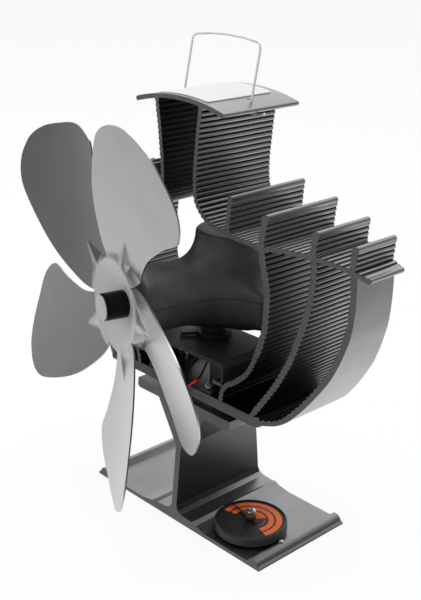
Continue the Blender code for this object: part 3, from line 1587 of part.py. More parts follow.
def thermometer_cup(material, frame):
    """The dished black cup with a rim, a ledge for the dial and a boss for the middle screw."""
    floor = CUP_BOTTOM + CUP_FLOOR
    ledge = CUP_TOP - DIAL_DROP - DIAL_THICKNESS
    seat = DIAL_RADIUS + HOLE_GAP
    hole = GAUGE_PIN_RADIUS + FIT_GAP
    boss_top = floor + CUP_BOSS
    profile = [
        (0, CUP_BOTTOM),
        (CUP_BOTTOM_RADIUS, CUP_BOTTOM),
        (CUP_RADIUS, CUP_BOTTOM + CUP_SKIRT),
        (CUP_RADIUS, CUP_TOP - CUP_BEVEL),
        (CUP_RADIUS - CUP_BEVEL, CUP_TOP),
        (seat, CUP_TOP),
        (seat, ledge),
        (seat - DIAL_LEDGE, ledge),
        (seat - DIAL_LEDGE, floor + CUP_SKIRT),
        (CUP_BOTTOM_RADIUS, floor),
        (CUP_BOSS_RADIUS, floor),
        (CUP_BOSS_RADIUS, boss_top),
        (hole, boss_top),
        (hole, floor),
        (0, floor),
    ]
    revolve("thermometer_cup", profile, "Z", (0, 0, 0), material, frame, DIAL_SEGMENTS)


def thermometer_inside(dial_black, ferrite, brass, frame):
    """Dial, magnet ring and the bimetal spiral between them."""
    middle = (0, 0, 0)
    floor = CUP_BOTTOM + CUP_FLOOR
    dial_low = CUP_TOP - DIAL_DROP - DIAL_THICKNESS + FIT_GAP
    ring(
        "thermometer_dial",
        DIAL_HOLE,
        DIAL_RADIUS,
        dial_low,
        dial_low + DIAL_THICKNESS - 2 * FIT_GAP,
        "Z",
        middle,
        dial_black,
        frame,
        DIAL_SEGMENTS,
    )
    low = floor + HOLE_GAP
    ring(
        "thermometer_magnet",
        GAUGE_MAGNET_HOLE,
        CUP_BOTTOM_RADIUS,
        low,
        low + GAUGE_MAGNET_THICKNESS,
        "Z",
        middle,
        ferrite,
        frame,
    )
    left = []
    right = []
    count = SPIRAL_TURN_COUNT * SPIRAL_POINTS_A_TURN_COUNT
    for i in range(count + 1):
        turns = i / SPIRAL_POINTS_A_TURN_COUNT
        radius = SPIRAL_INNER + SPIRAL_PITCH * turns
        angle = math.tau * turns
        for side, edge in ((left, radius - SPIRAL_SHEET / 2), (right, radius + SPIRAL_SHEET / 2)):
            side.append((edge * math.cos(angle), edge * math.sin(angle)))
    low = floor + HOLE_GAP
    high = low + SPIRAL_HEIGHT
    points = [(x, y, z) for z in (low, high) for side in (left, right) for x, y in side]
    row = count + 1
    faces = [[0, row, 3 * row, 2 * row], [count, row + count, 3 * row + count, 2 * row + count]]
    for i in range(count):
        for a, b in ((0, row), (row, 3 * row), (3 * row, 2 * row), (2 * row, 0)):
            faces.append([a + i, a + i + 1, b + i + 1, b + i])
    mesh_object("bimetal_spiral", points, faces, brass, frame)


def thermometer_top(steel, brass, needle, frame, turning):
    """Pointer with its brass hub, and the silver screw that keeps them on."""
    dial_top = CUP_TOP - DIAL_DROP - FIT_GAP
    low = dial_top + POINTER_LIFT
    high = low + POINTER_THICKNESS
    wide = math.degrees(math.asin(POINTER_HALF / POINTER_EYE))
    outline = [(POINTER_LENGTH, -POINTER_TIP_HALF), (POINTER_LENGTH, POINTER_TIP_HALF)]
    outline += arc((0, 0), POINTER_EYE, wide, 180 - wide, ARC_STEPS)
    outline += [(-POINTER_TAIL, POINTER_HALF), (-POINTER_TAIL, -POINTER_HALF)]
    outline += arc((0, 0), POINTER_EYE, 180 + wide, 360 - wide, ARC_STEPS)
    pointer = prism("thermometer_pointer", outline, low, high, "Z", needle, turning)
    eye = GAUGE_PIN_RADIUS + FIT_GAP
    middle = (0, 0, 0)
    hole = cylinder("pointer_hole", eye, low - OVERLAP, high + OVERLAP, "Z", middle, None, turning)
    boolean(pointer, hole, "DIFFERENCE")
    brass_low = high + FIT_GAP
    ring(
        "thermometer_hub",
        eye,
        BRASS_RADIUS,
        brass_low,
        brass_low + BRASS_HEIGHT,
        "Z",
        middle,
        brass,
        turning,
        ROUND_SEGMENTS,
    )
    seat = brass_low + BRASS_HEIGHT + FIT_GAP
    length = seat - CUP_BOTTOM - CUP_FLOOR - FIT_GAP
    pan_screw(
        "thermometer_screw",
        0,
        0,
        seat,
        length,
        steel,
        GAUGE_SCREW_RADIUS,
        GAUGE_PIN_RADIUS,
        GAUGE_SCREW_HEIGHT,
        frame,
    )


def foot_studs(steel):
    """Two small studs in the ridge and in the lip, one each side of the thermometer."""
    for name, x in (("inner", RIDGE_X), ("outer", STUD_OUTER_X)):
        seat = stud_seat(x) + FIT_GAP
        sizes = (STUD_RADIUS, STUD_SHANK, STUD_HEIGHT)
        pan_screw("foot_stud_" + name, x, STUD_Y, seat, STUD_DEPTH, steel, *sizes)


def build():
    """Make every piece in its place."""
    clear_scene()
    anodised = new_material("black_anodised_aluminium", (0.055, 0.056, 0.060), 0.42, 0.9)
    silver = new_material("silver_sheet_aluminium", (0.62, 0.62, 0.63), 0.35, 1.0)
    steel = new_material("bright_steel", (0.70, 0.69, 0.67), 0.22, 1.0)
    plastic = new_material("black_moulded_plastic", (0.030, 0.030, 0.032), 0.45, 0.0)
    gloss = new_material("gloss_black_plastic", (0.012, 0.012, 0.013), 0.12, 0.0)
    label_white = new_material("white_label", (0.82, 0.82, 0.80), 0.40, 0.0)
    ceramic = new_material("white_ceramic", (0.86, 0.86, 0.84), 0.50, 0.0)
    graphite = new_material("graphite_pad", (0.10, 0.10, 0.11), 0.60, 0.0)
    tellurium = new_material("pellet_grey", (0.30, 0.31, 0.33), 0.40, 0.6)
    ferrite = new_material("ferrite", (0.05, 0.05, 0.05), 0.60, 0.0)
    iron = new_material("lamination_iron", (0.25, 0.25, 0.26), 0.40, 1.0)
    copper = new_material("copper", (0.72, 0.32, 0.16), 0.30, 1.0)
    bronze = new_material("bearing_bronze", (0.52, 0.36, 0.18), 0.40, 1.0)
    brass = new_material("brass", (0.72, 0.52, 0.22), 0.28, 1.0)
    rubber = new_material("black_rubber", (0.02, 0.02, 0.02), 0.70, 0.0)
    red = new_material("red_insulation", (0.55, 0.05, 0.06), 0.45, 0.0)
    black = new_material("black_insulation", (0.02, 0.02, 0.02), 0.45, 0.0)
    dial_black = new_material("dial_black", (0.02, 0.02, 0.02), 0.55, 0.0)
    needle = new_material("needle_white", (0.80, 0.80, 0.78), 0.40, 0.0)

    foot(anodised)
    heat_sink(anodised)
    module_stack(graphite, ceramic, tellurium)
    clamp_screws(steel)
    tray(plastic)
    tray_screws(steel)
    bail_handle(steel)
    label_plate(label_white)

    fixed = empty("pivot_axis", (0, PIVOT_Y, 0))
    head = empty("head_axis", (0, PIVOT_Y, 0), HEAD_TURN_DEG)
    pivot(plastic, steel, fixed, head)
    head_shells(plastic, head)
    head_screws(steel, head)
    motor = empty("motor_axis", (0, 0, AXIS_Z), 0, head)
    motor_case(steel, plastic, bronze, ferrite, copper, rubber, motor)
    rotor = empty("rotor_axis", (0, 0, AXIS_Z), 0, head)
    armature(steel, iron, copper, rotor)
    fan_blades(silver, rotor)
    hub(gloss, silver, plastic, rotor)
    leads(red, black)

    gauge = empty("thermometer_axis", (GAUGE_X, GAUGE_Y, 0))
    needle_axis = empty("pointer_axis", (0, 0, 0), POINTER_DEG, gauge)
    thermometer_cup(gloss, gauge)
    thermometer_inside(dial_black, ferrite, brass, gauge)
    thermometer_top(steel, brass, needle, gauge, needle_axis)
    foot_studs(steel)


build()
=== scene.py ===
"""Dresses the stove fan: black anodised extrusions with fine ribs, a pressed silver rotor, a moulded
black motor head, a steel bail and the dial thermometer, seen from the photograph's place.
"""

import math

import bpy
import numpy as np
from mathutils import Matrix, Vector


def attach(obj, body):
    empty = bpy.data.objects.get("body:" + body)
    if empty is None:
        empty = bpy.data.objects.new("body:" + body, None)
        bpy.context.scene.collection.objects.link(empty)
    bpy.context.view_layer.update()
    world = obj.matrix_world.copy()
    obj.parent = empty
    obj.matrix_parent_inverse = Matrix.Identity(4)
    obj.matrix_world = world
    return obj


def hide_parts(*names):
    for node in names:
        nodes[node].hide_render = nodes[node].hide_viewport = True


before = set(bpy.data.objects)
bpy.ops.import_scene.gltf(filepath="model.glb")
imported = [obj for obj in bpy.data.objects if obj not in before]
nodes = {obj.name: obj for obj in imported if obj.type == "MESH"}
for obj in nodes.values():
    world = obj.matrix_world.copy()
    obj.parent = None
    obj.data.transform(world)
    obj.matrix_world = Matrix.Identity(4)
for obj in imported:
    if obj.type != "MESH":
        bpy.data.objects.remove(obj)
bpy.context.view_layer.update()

# Camera
# The photograph is taken from the front right, a little above, with a long lens. The camera looks
# along its azimuth and elevation and is rolled a little about that line.
CAMERA_PLACE = (0.3803, -0.3636, 0.3230)
AZIMUTH = math.radians(46.77)
ELEVATION = math.radians(20.94)
ROLL = math.radians(0.627)
LENS = 63.26
SENSOR_WIDTH = 36
NEAREST = 0.01
FARTHEST = 20
forward = np.array(
    [
        -math.sin(AZIMUTH) * math.cos(ELEVATION),
        math.cos(AZIMUTH) * math.cos(ELEVATION),
        -math.sin(ELEVATION),
    ]
)
level = np.array([math.cos(AZIMUTH), math.sin(AZIMUTH), 0])
upright = np.cross(level, forward)
camera_right = math.cos(ROLL) * level + math.sin(ROLL) * upright
camera_up = math.cos(ROLL) * upright - math.sin(ROLL) * level
camera_turn = Matrix(np.column_stack([camera_right, camera_up, -forward]).tolist()).to_4x4()
camera = bpy.data.objects.new("camera", bpy.data.cameras.new("camera"))
bpy.context.scene.collection.objects.link(camera)
camera.data.lens = LENS
camera.data.sensor_width = SENSOR_WIDTH
camera.data.clip_start = NEAREST
camera.data.clip_end = FARTHEST
camera.matrix_world = Matrix.Translation(CAMERA_PLACE) @ camera_turn
bpy.context.scene.camera = camera
bpy.context.scene.view_settings.view_transform = "Standard"

# Floor
# A sheet of white paper stands in for the studio's table. The camera sees it evenly bright, and
# metal mirrors the bright room below in its place, as it would over a lit sweep.
FLOOR_HALF = 6.0
FLOOR_Z = -0.0002
EVENLY_BRIGHT = 0.90
SEEN_THROUGH = 0.95


class Socket:
    """A shader socket that adds, multiplies and compares by making the node for it."""

    def __init__(self, tree, socket=None):
        self.tree = tree
        self.socket = socket

    def node(self, kind, output=0, settings=None, **inputs):
        """Any node of the tree: inputs by name or by number as in_0, settings as attributes."""
        made = self.tree.nodes.new(kind)
        for name, value in (settings or {}).items():
            setattr(made, name, value)
        for name, value in inputs.items():
            key = int(name[3:]) if name.startswith("in_") else name
            target = made.inputs[key]
            if isinstance(value, Socket):
                self.tree.links.new(value.socket, target)
            else:
                target.default_value = value
        return Socket(self.tree, made.outputs[output])

    def maths(self, operation, *values):
        """A Math node on this socket and the other values."""
        inputs = {f"in_{i}": value for i, value in enumerate((self, *values))}
        return self.node("ShaderNodeMath", settings={"operation": operation}, **inputs)

    def __add__(self, other):
        return self.maths("ADD", other)

    def __sub__(self, other):
        return self.maths("SUBTRACT", other)

    def __rsub__(self, other):
        return self * -1 + other

    def __mul__(self, other):
        return self.maths("MULTIPLY", other)

    def __truediv__(self, other):
        return self.maths("DIVIDE", other)

    def __pow__(self, other):
        return self.maths("POWER", other)

    def __gt__(self, other):
        return self.maths("GREATER_THAN", other)

    __radd__ = __add__
    __rmul__ = __mul__

    def ramp(self, low, high):
        """0 below low, 1 above high, with soft ends."""
        return self.node(
            "ShaderNodeMapRange",
            settings={"interpolation_type": "SMOOTHSTEP"},
            in_0=self,
            in_1=low,
            in_2=high,
        )

    def mix(self, low, high):
        """A colour between low at 0 and high at 1."""
        return self.node(
            "ShaderNodeMix",
            output=2,
            settings={"data_type": "RGBA"},
            in_0=self,
            in_6=low if isinstance(low, Socket) else (*low, 1),
            in_7=high if isinstance(high, Socket) else (*high, 1),
        )

    def parts(self):
        """X, Y and Z of this vector."""
        split = self.node("ShaderNodeSeparateXYZ", in_0=self).socket.node
        return [Socket(self.tree, split.outputs[i]) for i in range(3)]

    def noise(self, size, detail=2.0, stretch=(1, 1, 1)):
        """Soft noise from 0 to 1 over this place, its size in metres, less where stretch is more."""
        sized = self.node(
            "ShaderNodeVectorMath",
            settings={"operation": "MULTIPLY"},
            in_0=self,
            in_1=tuple(s / size for s in stretch),
        )
        return sized.node("ShaderNodeTexNoise", in_0=sized, Scale=1.0, Detail=detail)


class Finish:
    """A Principled material whose sockets are set by name, with places on the object to work from."""

    def __init__(self, name, colour, roughness, metallic=0.0, **more):
        self.material = bpy.data.materials.new(name)
        self.material.use_nodes = True
        self.tree = self.material.node_tree
        self.shader = self.tree.nodes["Principled BSDF"]
        self.set("Base Color", (*colour, 1))
        self.set("Roughness", roughness)
        self.set("Metallic", metallic)
        for key, value in more.items():
            self.set(key.replace("_", " "), value)

    def set(self, name, value):
        """Links a socket to the shader's input of that name, or writes a plain value there."""
        target = self.shader.inputs[name]
        if isinstance(value, Socket):
            self.tree.links.new(value.socket, target)
        else:
            target.default_value = value

    def place(self):
        """Where on the object, in metres, as a vector."""
        return Socket(self.tree).node("ShaderNodeTexCoord", output="Object")

    def normal(self):
        """The direction that the surface faces, in the object's own frame."""
        return Socket(self.tree).node("ShaderNodeTexCoord", output="Normal")

    def stored(self, name):
        """The value that the mesh stores at each point under a name."""
        settings = {"attribute_name": name}
        return Socket(self.tree).node("ShaderNodeAttribute", output="Fac", settings=settings)

    def bump(self, height, distance, strength):
        """Feeds a height from 0 to 1 to the normal."""
        raised = height.node("ShaderNodeBump", Height=height, Distance=distance, Strength=strength)
        self.set("Normal", raised)

    def put(self, *objects):
        """Makes this the only material of the objects."""
        for obj in objects:
            obj.data.materials.clear()
            obj.data.materials.append(self.material)


floor_corners = [(-FLOOR_HALF, -FLOOR_HALF), (FLOOR_HALF, -FLOOR_HALF)]
floor_corners += [(FLOOR_HALF, FLOOR_HALF), (-FLOOR_HALF, FLOOR_HALF)]
floor_mesh = bpy.data.meshes.new("floor")
floor_mesh.from_pydata([(x, y, 0) for x, y in floor_corners], [], [[0, 1, 2, 3]])
floor = bpy.data.objects.new("floor", floor_mesh)
floor.location = (0, 0, FLOOR_Z)
bpy.context.scene.collection.objects.link(floor)
paper = Finish("floor_white", (0.90, 0.90, 0.90), 0.9)
fibres = paper.place().noise(0.02, 3.0)
paper.set("Base Color", fibres.mix((0.89, 0.89, 0.89), (0.91, 0.91, 0.91)))
paper_tree = Socket(paper.tree)
camera_ray = paper_tree.node("ShaderNodeLightPath", output="Is Camera Ray")
through_ray = paper_tree.node("ShaderNodeLightPath", output="Is Transmission Ray")
mirrored_ray = paper_tree.node("ShaderNodeLightPath", output="Is Glossy Ray")
glowing = paper_tree.node(
    "ShaderNodeMixShader",
    in_0=camera_ray.maths("MAXIMUM", through_ray) * EVENLY_BRIGHT,
    in_1=Socket(paper.tree, paper.shader.outputs[0]),
    in_2=paper_tree.node("ShaderNodeEmission"),
)
lit = paper_tree.node(
    "ShaderNodeMixShader",
    in_0=mirrored_ray * SEEN_THROUGH,
    in_1=glowing,
    in_2=paper_tree.node("ShaderNodeBsdfTransparent"),
)
paper.tree.links.new(lit.socket, paper.tree.nodes["Material Output"].inputs["Surface"])
paper.put(floor)

# Room
# A white studio that lights the object evenly from all sides. What metal mirrors of it is bright
# behind, below and straight in front, and dim overhead and to the right.
ROOM_LIGHT = 0.55
DIMMEST = 0.10
BELOW_SHARE = 0.67
FRONT_LIGHT = 0.55
OVERHEAD_LOSS = 0.75
RIGHT_LOSS = 0.80
UPPER_RIGHT_LOSS = 0.70

world = bpy.data.worlds.new("studio")
bpy.context.scene.world = world
world.use_nodes = True
background = world.node_tree.nodes["Background"]
background.inputs["Color"].default_value = (1, 1, 1, 1)
background.inputs["Strength"].default_value = ROOM_LIGHT
world_tree = Socket(world.node_tree)
right, back, height = world_tree.node("ShaderNodeTexCoord", output="Generated").parts()
camera_ray = world_tree.node("ShaderNodeLightPath", output="Is Camera Ray")
through_ray = world_tree.node("ShaderNodeLightPath", output="Is Transmission Ray")
mirrored_ray = world_tree.node("ShaderNodeLightPath", output="Is Glossy Ray")
below = 1 - height.ramp(-1.0, 0.0)
sweep = DIMMEST + (1 - DIMMEST) * (back + BELOW_SHARE * below).ramp(-0.68, 0.52)
in_front = FRONT_LIGHT * (1 - back.ramp(-0.97, -0.84))
overhead = OVERHEAD_LOSS * height.ramp(0.50, 0.95)
to_the_right = RIGHT_LOSS * right.ramp(0.2, 0.8)
upper_right = UPPER_RIGHT_LOSS * right.ramp(0.25, 0.60) * height.ramp(0.0, 0.30)
room = (sweep + in_front) * (1 - overhead) * (1 - to_the_right) * (1 - upper_right)
seen_room = world_tree.node(
    "ShaderNodeBackground",
    Color=(1, 1, 1, 1),
    Strength=mirrored_ray * (room - 1) + 1,
)
surroundings = world_tree.node(
    "ShaderNodeMixShader",
    in_0=camera_ray.maths("MAXIMUM", through_ray).maths("MAXIMUM", mirrored_ray),
    in_1=Socket(world.node_tree, background.outputs[0]),
    in_2=seen_room,
)
world.node_tree.links.new(
    surroundings.socket, world.node_tree.nodes["World Output"].inputs["Surface"]
)

# Sheets of light
# Three large soft lamps, above, to the left and in front, all turned to the object. Metal mirrors
# only the one above.


def sheet_of_light(name, place, aim, side, power, mirrored):
    """A soft square light at a place, facing a point, and whether metal mirrors it."""
    data = bpy.data.lights.new(name, "AREA")
    data.shape = "SQUARE"
    data.size = side
    data.energy = power
    obj = bpy.data.objects.new(name, data)
    obj.location = place
    obj.rotation_euler = (Vector(aim) - Vector(place)).to_track_quat("-Z", "Y").to_euler()
    obj.visible_glossy = mirrored
    bpy.context.scene.collection.objects.link(obj)


sheet_of_light("light_above", (0.0, 0.1, 1.3), (0, 0, 0.1), 1.2, 10, True)
sheet_of_light("light_left", (-1.1, -0.7, 0.6), (0, 0, 0.15), 0.9, 8, False)
sheet_of_light("light_front", (0.3, -1.3, 0.5), (0, 0, 0.15), 0.8, 4, False)

# Foot
# A folded-looking aluminium extrusion, black anodised, sawn across, with faint die lines along its
# length. It stands on the stove and carries the module on its platform.
STEM_HALF = 0.0030
STEM_FADE = 0.0015
STEM_LOW = 0.020
STEM_HIGH = 0.055
STEM_SLOPE = 0.4
anodised = Finish("black_anodised", (0.33, 0.332, 0.338), 0.34, 1.0)
place = anodised.place()
die_lines = place.noise(0.0012, 2.0, (1, 0.01, 1))
clouds = place.noise(0.03, 2.0)
foot_colour = clouds.ramp(0.2, 0.8).mix((0.31, 0.313, 0.32), (0.36, 0.363, 0.37))
across, along, height = place.parts()
# Painted shade: the flanks of the stem are painted much darker low down and towards the front.
facing_sideways = anodised.normal().parts()[0].maths("ABSOLUTE").ramp(0.6, 0.9)
on_stem = 1 - across.maths("ABSOLUTE").ramp(STEM_HALF, STEM_HALF + STEM_FADE)
low_on_stem = 1 - (height + STEM_SLOPE * along).ramp(STEM_LOW, STEM_HIGH)
shaded_stem_flank = facing_sideways * on_stem * low_on_stem
anodised.set("Base Color", shaded_stem_flank.mix(foot_colour, (0.10, 0.101, 0.104)))
anodised.set("Roughness", 0.33 + 0.05 * die_lines + 0.16 * shaded_stem_flank)
anodised.bump(die_lines, 0.00001, 0.12)
anodised.put(nodes["base_extrusion"])

# Module between foot and heat sink
# Two soft graphite pads, two white ceramic faces and the pellets between them, pressed between the
# foot's platform and the heat sink. The edges of the ceramic are painted nearly black as painted shade.
graphite = Finish("graphite_pad", (0.06, 0.06, 0.065), 0.6)
flakes = graphite.place().noise(0.0008, 3.0)
graphite.set("Base Color", flakes.mix((0.045, 0.045, 0.048), (0.085, 0.085, 0.090)))
graphite.put(nodes["hot_side_pad"], nodes["cold_side_pad"])
ceramic = Finish("module_ceramic", (0.75, 0.75, 0.72), 0.5)
fired = ceramic.place().noise(0.0010, 3.0)
# Painted shade: the ceramic's edge faces, in the gap between the foot and the heat sink, are painted nearly
# black.
face = ceramic.normal().parts()[2].maths("ABSOLUTE").ramp(0.5, 0.7)
white = fired.mix((0.68, 0.68, 0.65), (0.78, 0.78, 0.75))
ceramic.set("Base Color", face.mix((0.018, 0.018, 0.019), white))
ceramic.put(nodes["hot_ceramic"], nodes["cold_ceramic"])
pellets = Finish("module_pellets", (0.10, 0.10, 0.11), 0.5, 0.3)
blocks = pellets.place().noise(0.0014, 1.0)
pellets.set("Base Color", blocks.ramp(0.45, 0.55).mix((0.05, 0.05, 0.055), (0.20, 0.20, 0.21)))
pellets.put(nodes["pellet_layer"])

# Heat sink
# One black anodised extrusion, sawn across, its wings back on the slant: an arched cap on two legs
# that sweep out into wings, fins above and below them, and outer walls that come down to the base
# plate. Fine round ribs run its whole depth.
SINK_FRONT = -0.02885
SINK_BACK = 0.02215
SLANT_START = 0.0560
SLANT = math.tan(math.radians(30))
RIB_PITCH = 0.0027
RIB_RADIUS = 0.00175
RIB_SAMPLES = 8
LEG_HALF = 0.00140
FIN_HALF = 0.0015
OUTER_WALL_HALF = 0.00145
HOOK_HALF = 0.0009
CAP_HALF = 0.0012
CAP_HALF_WIDTH = 0.0306
CAP_TOP_Z = 0.2328
CAP_FALL = 0.0042
PLATE_HALF = 0.00275
PLATE_HALF_WIDTH = 0.0585
PLATE_Z = 0.08055
PLATE_TOP = PLATE_Z + PLATE_HALF
BAIL_HOLE_X = 0.0210
BAIL_HOLE_Y = -0.0022
BAIL_HOLE_RADIUS = 0.0011
HAIR = 0.00001
KEY_STEPS = 24
SHARP_ANGLE = math.radians(35)
FACING_THE_SAW = 0.7
LEG_CURVE = np.array(
    [
        (0.01590, 0.2312), (0.01510, 0.2245), (0.01430, 0.2196), (0.01370, 0.2148), (0.01320, 0.2098),
        (0.01270, 0.2050), (0.01210, 0.1990), (0.01195, 0.1925), (0.01225, 0.1880), (0.01300, 0.1843),
        (0.01495, 0.1811), (0.01775, 0.1782), (0.02100, 0.1760), (0.02570, 0.1743), (0.03150, 0.1731),
        (0.03750, 0.1724), (0.04470, 0.1717), (0.05090, 0.1715), (0.05480, 0.1709), (0.05920, 0.1707),
        (0.06490, 0.1705), (0.07040, 0.1699), (0.07540, 0.1691), (0.08050, 0.1681), (0.08620, 0.1665),
        (0.09120, 0.1648), (0.09630, 0.1626), (0.09970, 0.1610), (0.10110, 0.1603),
    ]
)
MIDDLE_FIN_CURVE = np.array(
    [
        (0.0574, 0.1706), (0.0580, 0.1644), (0.0587, 0.1598), (0.0594, 0.1557), (0.0599, 0.1520),
        (0.0603, 0.1480), (0.0603, 0.1425), (0.0600, 0.1378), (0.0599, 0.1333), (0.0593, 0.1282),
        (0.0584, 0.1240), (0.0573, 0.1190), (0.0560, 0.1154), (0.0544, 0.1114), (0.0529, 0.1084),
        (0.0508, 0.1052), (0.0480, 0.1019), (0.0446, 0.0990), (0.0407, 0.0960), (0.0372, 0.0940),
        (0.0345, 0.0912), (0.0328, 0.0875), (0.0320, 0.0815),
    ]
)
OUTER_FIN_CURVE = np.array(
    [
        (0.0790, 0.1690), (0.0791, 0.1583), (0.0782, 0.1476), (0.0764, 0.1365), (0.0735, 0.1249),
        (0.0704, 0.1144), (0.0656, 0.1027), (0.0613, 0.0946), (0.0563, 0.0860), (0.0538, 0.0820),
    ]
)
OUTER_WALL_CURVE = np.array(
    [
        (0.0952, 0.1630), (0.0954, 0.1540), (0.0954, 0.1480), (0.0952, 0.1429), (0.0948, 0.1378),
        (0.0942, 0.1327), (0.0932, 0.1278), (0.0909, 0.1197), (0.0890, 0.1142), (0.0868, 0.1088),
        (0.0845, 0.1046), (0.0819, 0.1002), (0.0785, 0.0949), (0.0747, 0.0896), (0.0715, 0.0858),
        (0.0686, 0.0830), (0.0650, 0.0812), (0.0615, 0.0806), (0.0560, 0.0805),
    ]
)
STANDING_FIN_CURVES = [
    [(0.0352, 0.1725), (0.0359, 0.1820), (0.0366, 0.1905)],
    [(0.0569, 0.1712), (0.0577, 0.1790), (0.0586, 0.1856)],
    [(0.0783, 0.1690), (0.0787, 0.1750), (0.0792, 0.1800)],
    [(0.0943, 0.1640), (0.0949, 0.1700), (0.0953, 0.1746)],
]
HOOK_CURVE = [(0.0331, 0.0922), (0.0300, 0.0922), (0.0270, 0.0922)]


def smooth_line(keys, step):
    """A soft line through the keys, with points an even step apart.

    Between two keys it is the cubic whose slope at each key is half the way between its neighbours.
    """
    keys = np.asarray(keys, float)
    ends = np.vstack([2 * keys[0] - keys[1], keys, 2 * keys[-1] - keys[-2]])
    share = np.linspace(0, 1, KEY_STEPS, endpoint=False)[None, :, None]
    a, b, c, d = (ends[i : len(ends) - 3 + i, None, :] for i in range(4))
    fine = 0.5 * (
        2 * b
        + (c - a) * share
        + (2 * a - 5 * b + 4 * c - d) * share**2
        + (3 * b - a - 3 * c + d) * share**3
    )
    fine = np.vstack([fine.reshape(-1, keys.shape[1]), keys[-1]])
    walked = np.concatenate([[0], np.cumsum(np.linalg.norm(np.diff(fine, axis=0), axis=1))])
    count = max(2, int(round(walked[-1] / step)))
    wanted = np.linspace(0, walked[-1], count + 1)
    return np.column_stack([np.interp(wanted, walked, fine[:, i]) for i in range(keys.shape[1])])


def solid_from(name, points, faces, material, **values):
    """A piece from points and faces, shaded softly below a sharp angle, with named values at its points."""
    mesh = bpy.data.meshes.new(name)
    mesh.from_pydata(np.asarray(points).tolist(), [], [list(map(int, face)) for face in faces])
    mesh.materials.append(material)
    obj = bpy.data.objects.new(name, mesh)
    bpy.context.scene.collection.objects.link(obj)
    mesh.shade_smooth()
    mesh.set_sharp_from_angle(angle=SHARP_ANGLE)
    for key, value in values.items():
        mesh.attributes.new(key, "FLOAT", "POINT").data.foreach_set("value", value)
    return obj


def wall(curve, half, left_ribs=True, right_ribs=True, round_end=True, inset=0.0, side=1):
    """One wall of the extrusion as points, faces and how deep in a groove each point lies.

    Its middle line is widened by its half thickness to both sides. A ribbed side is a row of round
    arcs, one each RIB_PITCH: it falls back from that width by the radius less the root of the radius
    squared less the distance from the arc's middle squared. The front lies in the sawn plane, which
    beyond SLANT_START goes back by SLANT for each metre outwards. Inset moves both ends inwards, by a
    few hairs for each wall, so that the ends of walls that cross don't lie in one plane.
    """
    line = smooth_line(curve, RIB_PITCH / RIB_SAMPLES)
    along = np.gradient(line, axis=0)
    along /= np.linalg.norm(along, axis=1)[:, None]
    across = np.column_stack([-along[:, 1], along[:, 0]])
    off_middle = (np.arange(len(line)) % RIB_SAMPLES / RIB_SAMPLES - 0.5) * RIB_PITCH
    fall = RIB_RADIUS - np.sqrt(RIB_RADIUS**2 - off_middle**2)
    fade = np.clip(np.arange(len(line))[::-1] / RIB_SAMPLES, 0, 1) if round_end else np.ones(len(line))
    hollow = fade * np.abs(off_middle) * 2 / RIB_PITCH
    left = line + across * (half - fall * fade * left_ribs)[:, None]
    right = line - across * (half - fall * fade * right_ribs)[:, None]
    if round_end:
        bend = np.radians(np.arange(75, 0, -15))[:, None]
        ahead = line[-1] + half * along[-1] * np.cos(bend)
        aside = half * across[-1] * np.sin(bend)
        left = np.vstack([left, ahead + aside])
        right = np.vstack([right, ahead - aside])
        hollow = np.append(hollow, np.zeros(len(bend)))
    count = len(left)
    depth = np.concatenate([hollow * left_ribs, hollow * right_ribs] * 2)
    flat = np.vstack([left, right])
    flat[:, 0] *= side
    front = SINK_FRONT + np.maximum(np.abs(flat[:, 0]) - SLANT_START, 0) * SLANT + inset
    back = np.full(len(flat), SINK_BACK - inset)
    points = np.vstack([np.column_stack([flat[:, 0], y, flat[:, 1]]) for y in (front, back)])
    a = np.arange(count - 1)
    b = a + count
    layer = 2 * count
    last = count - 1
    quads = np.vstack(
        [
            np.column_stack([a, a + 1, b + 1, b]),
            np.column_stack([a, b, b + 1, a + 1]) + layer,
            np.column_stack([a, a + layer, a + 1 + layer, a + 1]),
            np.column_stack([b, b + 1, b + 1 + layer, b + layer]),
            [[0, count, count + layer, layer]],
            [[last, last + layer, last + count + layer, last + count]],
        ]
    )
    if side > 0:
        quads = quads[:, ::-1]
    return points, quads, depth


def walls(name, shapes, material, cut_material):
    """Several walls as one piece, with the sawn faces, which face forward or back, in their own finish."""
    places, quads, depths = zip(*shapes)
    starts = np.cumsum([0] + [len(points) for points in places[:-1]])
    faces = np.vstack([quad + start for quad, start in zip(quads, starts)])
    obj = solid_from(name, np.vstack(places), faces, material, groove=np.concatenate(depths))
    obj.data.materials.append(cut_material)
    facing = np.empty(3 * len(obj.data.polygons))
    obj.data.polygons.foreach_get("normal", facing)
    sawn = (np.abs(facing.reshape(-1, 3)[:, 1]) > FACING_THE_SAW).astype(np.int32)
    obj.data.polygons.foreach_set("material_index", sawn)
    return obj


def between(value, low, high, soft):
    """1 between two limits and 0 outside them: one ramp up times what another leaves of 1."""
    return value.ramp(low - soft, low + soft) * (1 - value.ramp(high - soft, high + soft))


sawn_end = Finish("sawn_aluminium", (0.085, 0.085, 0.090), 0.55, 0.35)
place = sawn_end.place()
saw_marks = place.noise(0.0007, 3.0, (0.12, 1, 1))
sawn_colour = saw_marks.ramp(0.3, 0.7).mix((0.088, 0.088, 0.093), (0.128, 0.128, 0.134))
sawn_end.set("Base Color", sawn_colour)
sawn_end.set("Roughness", 0.48 + 0.16 * saw_marks)
sawn_end.bump(saw_marks, 0.00006, 0.6)

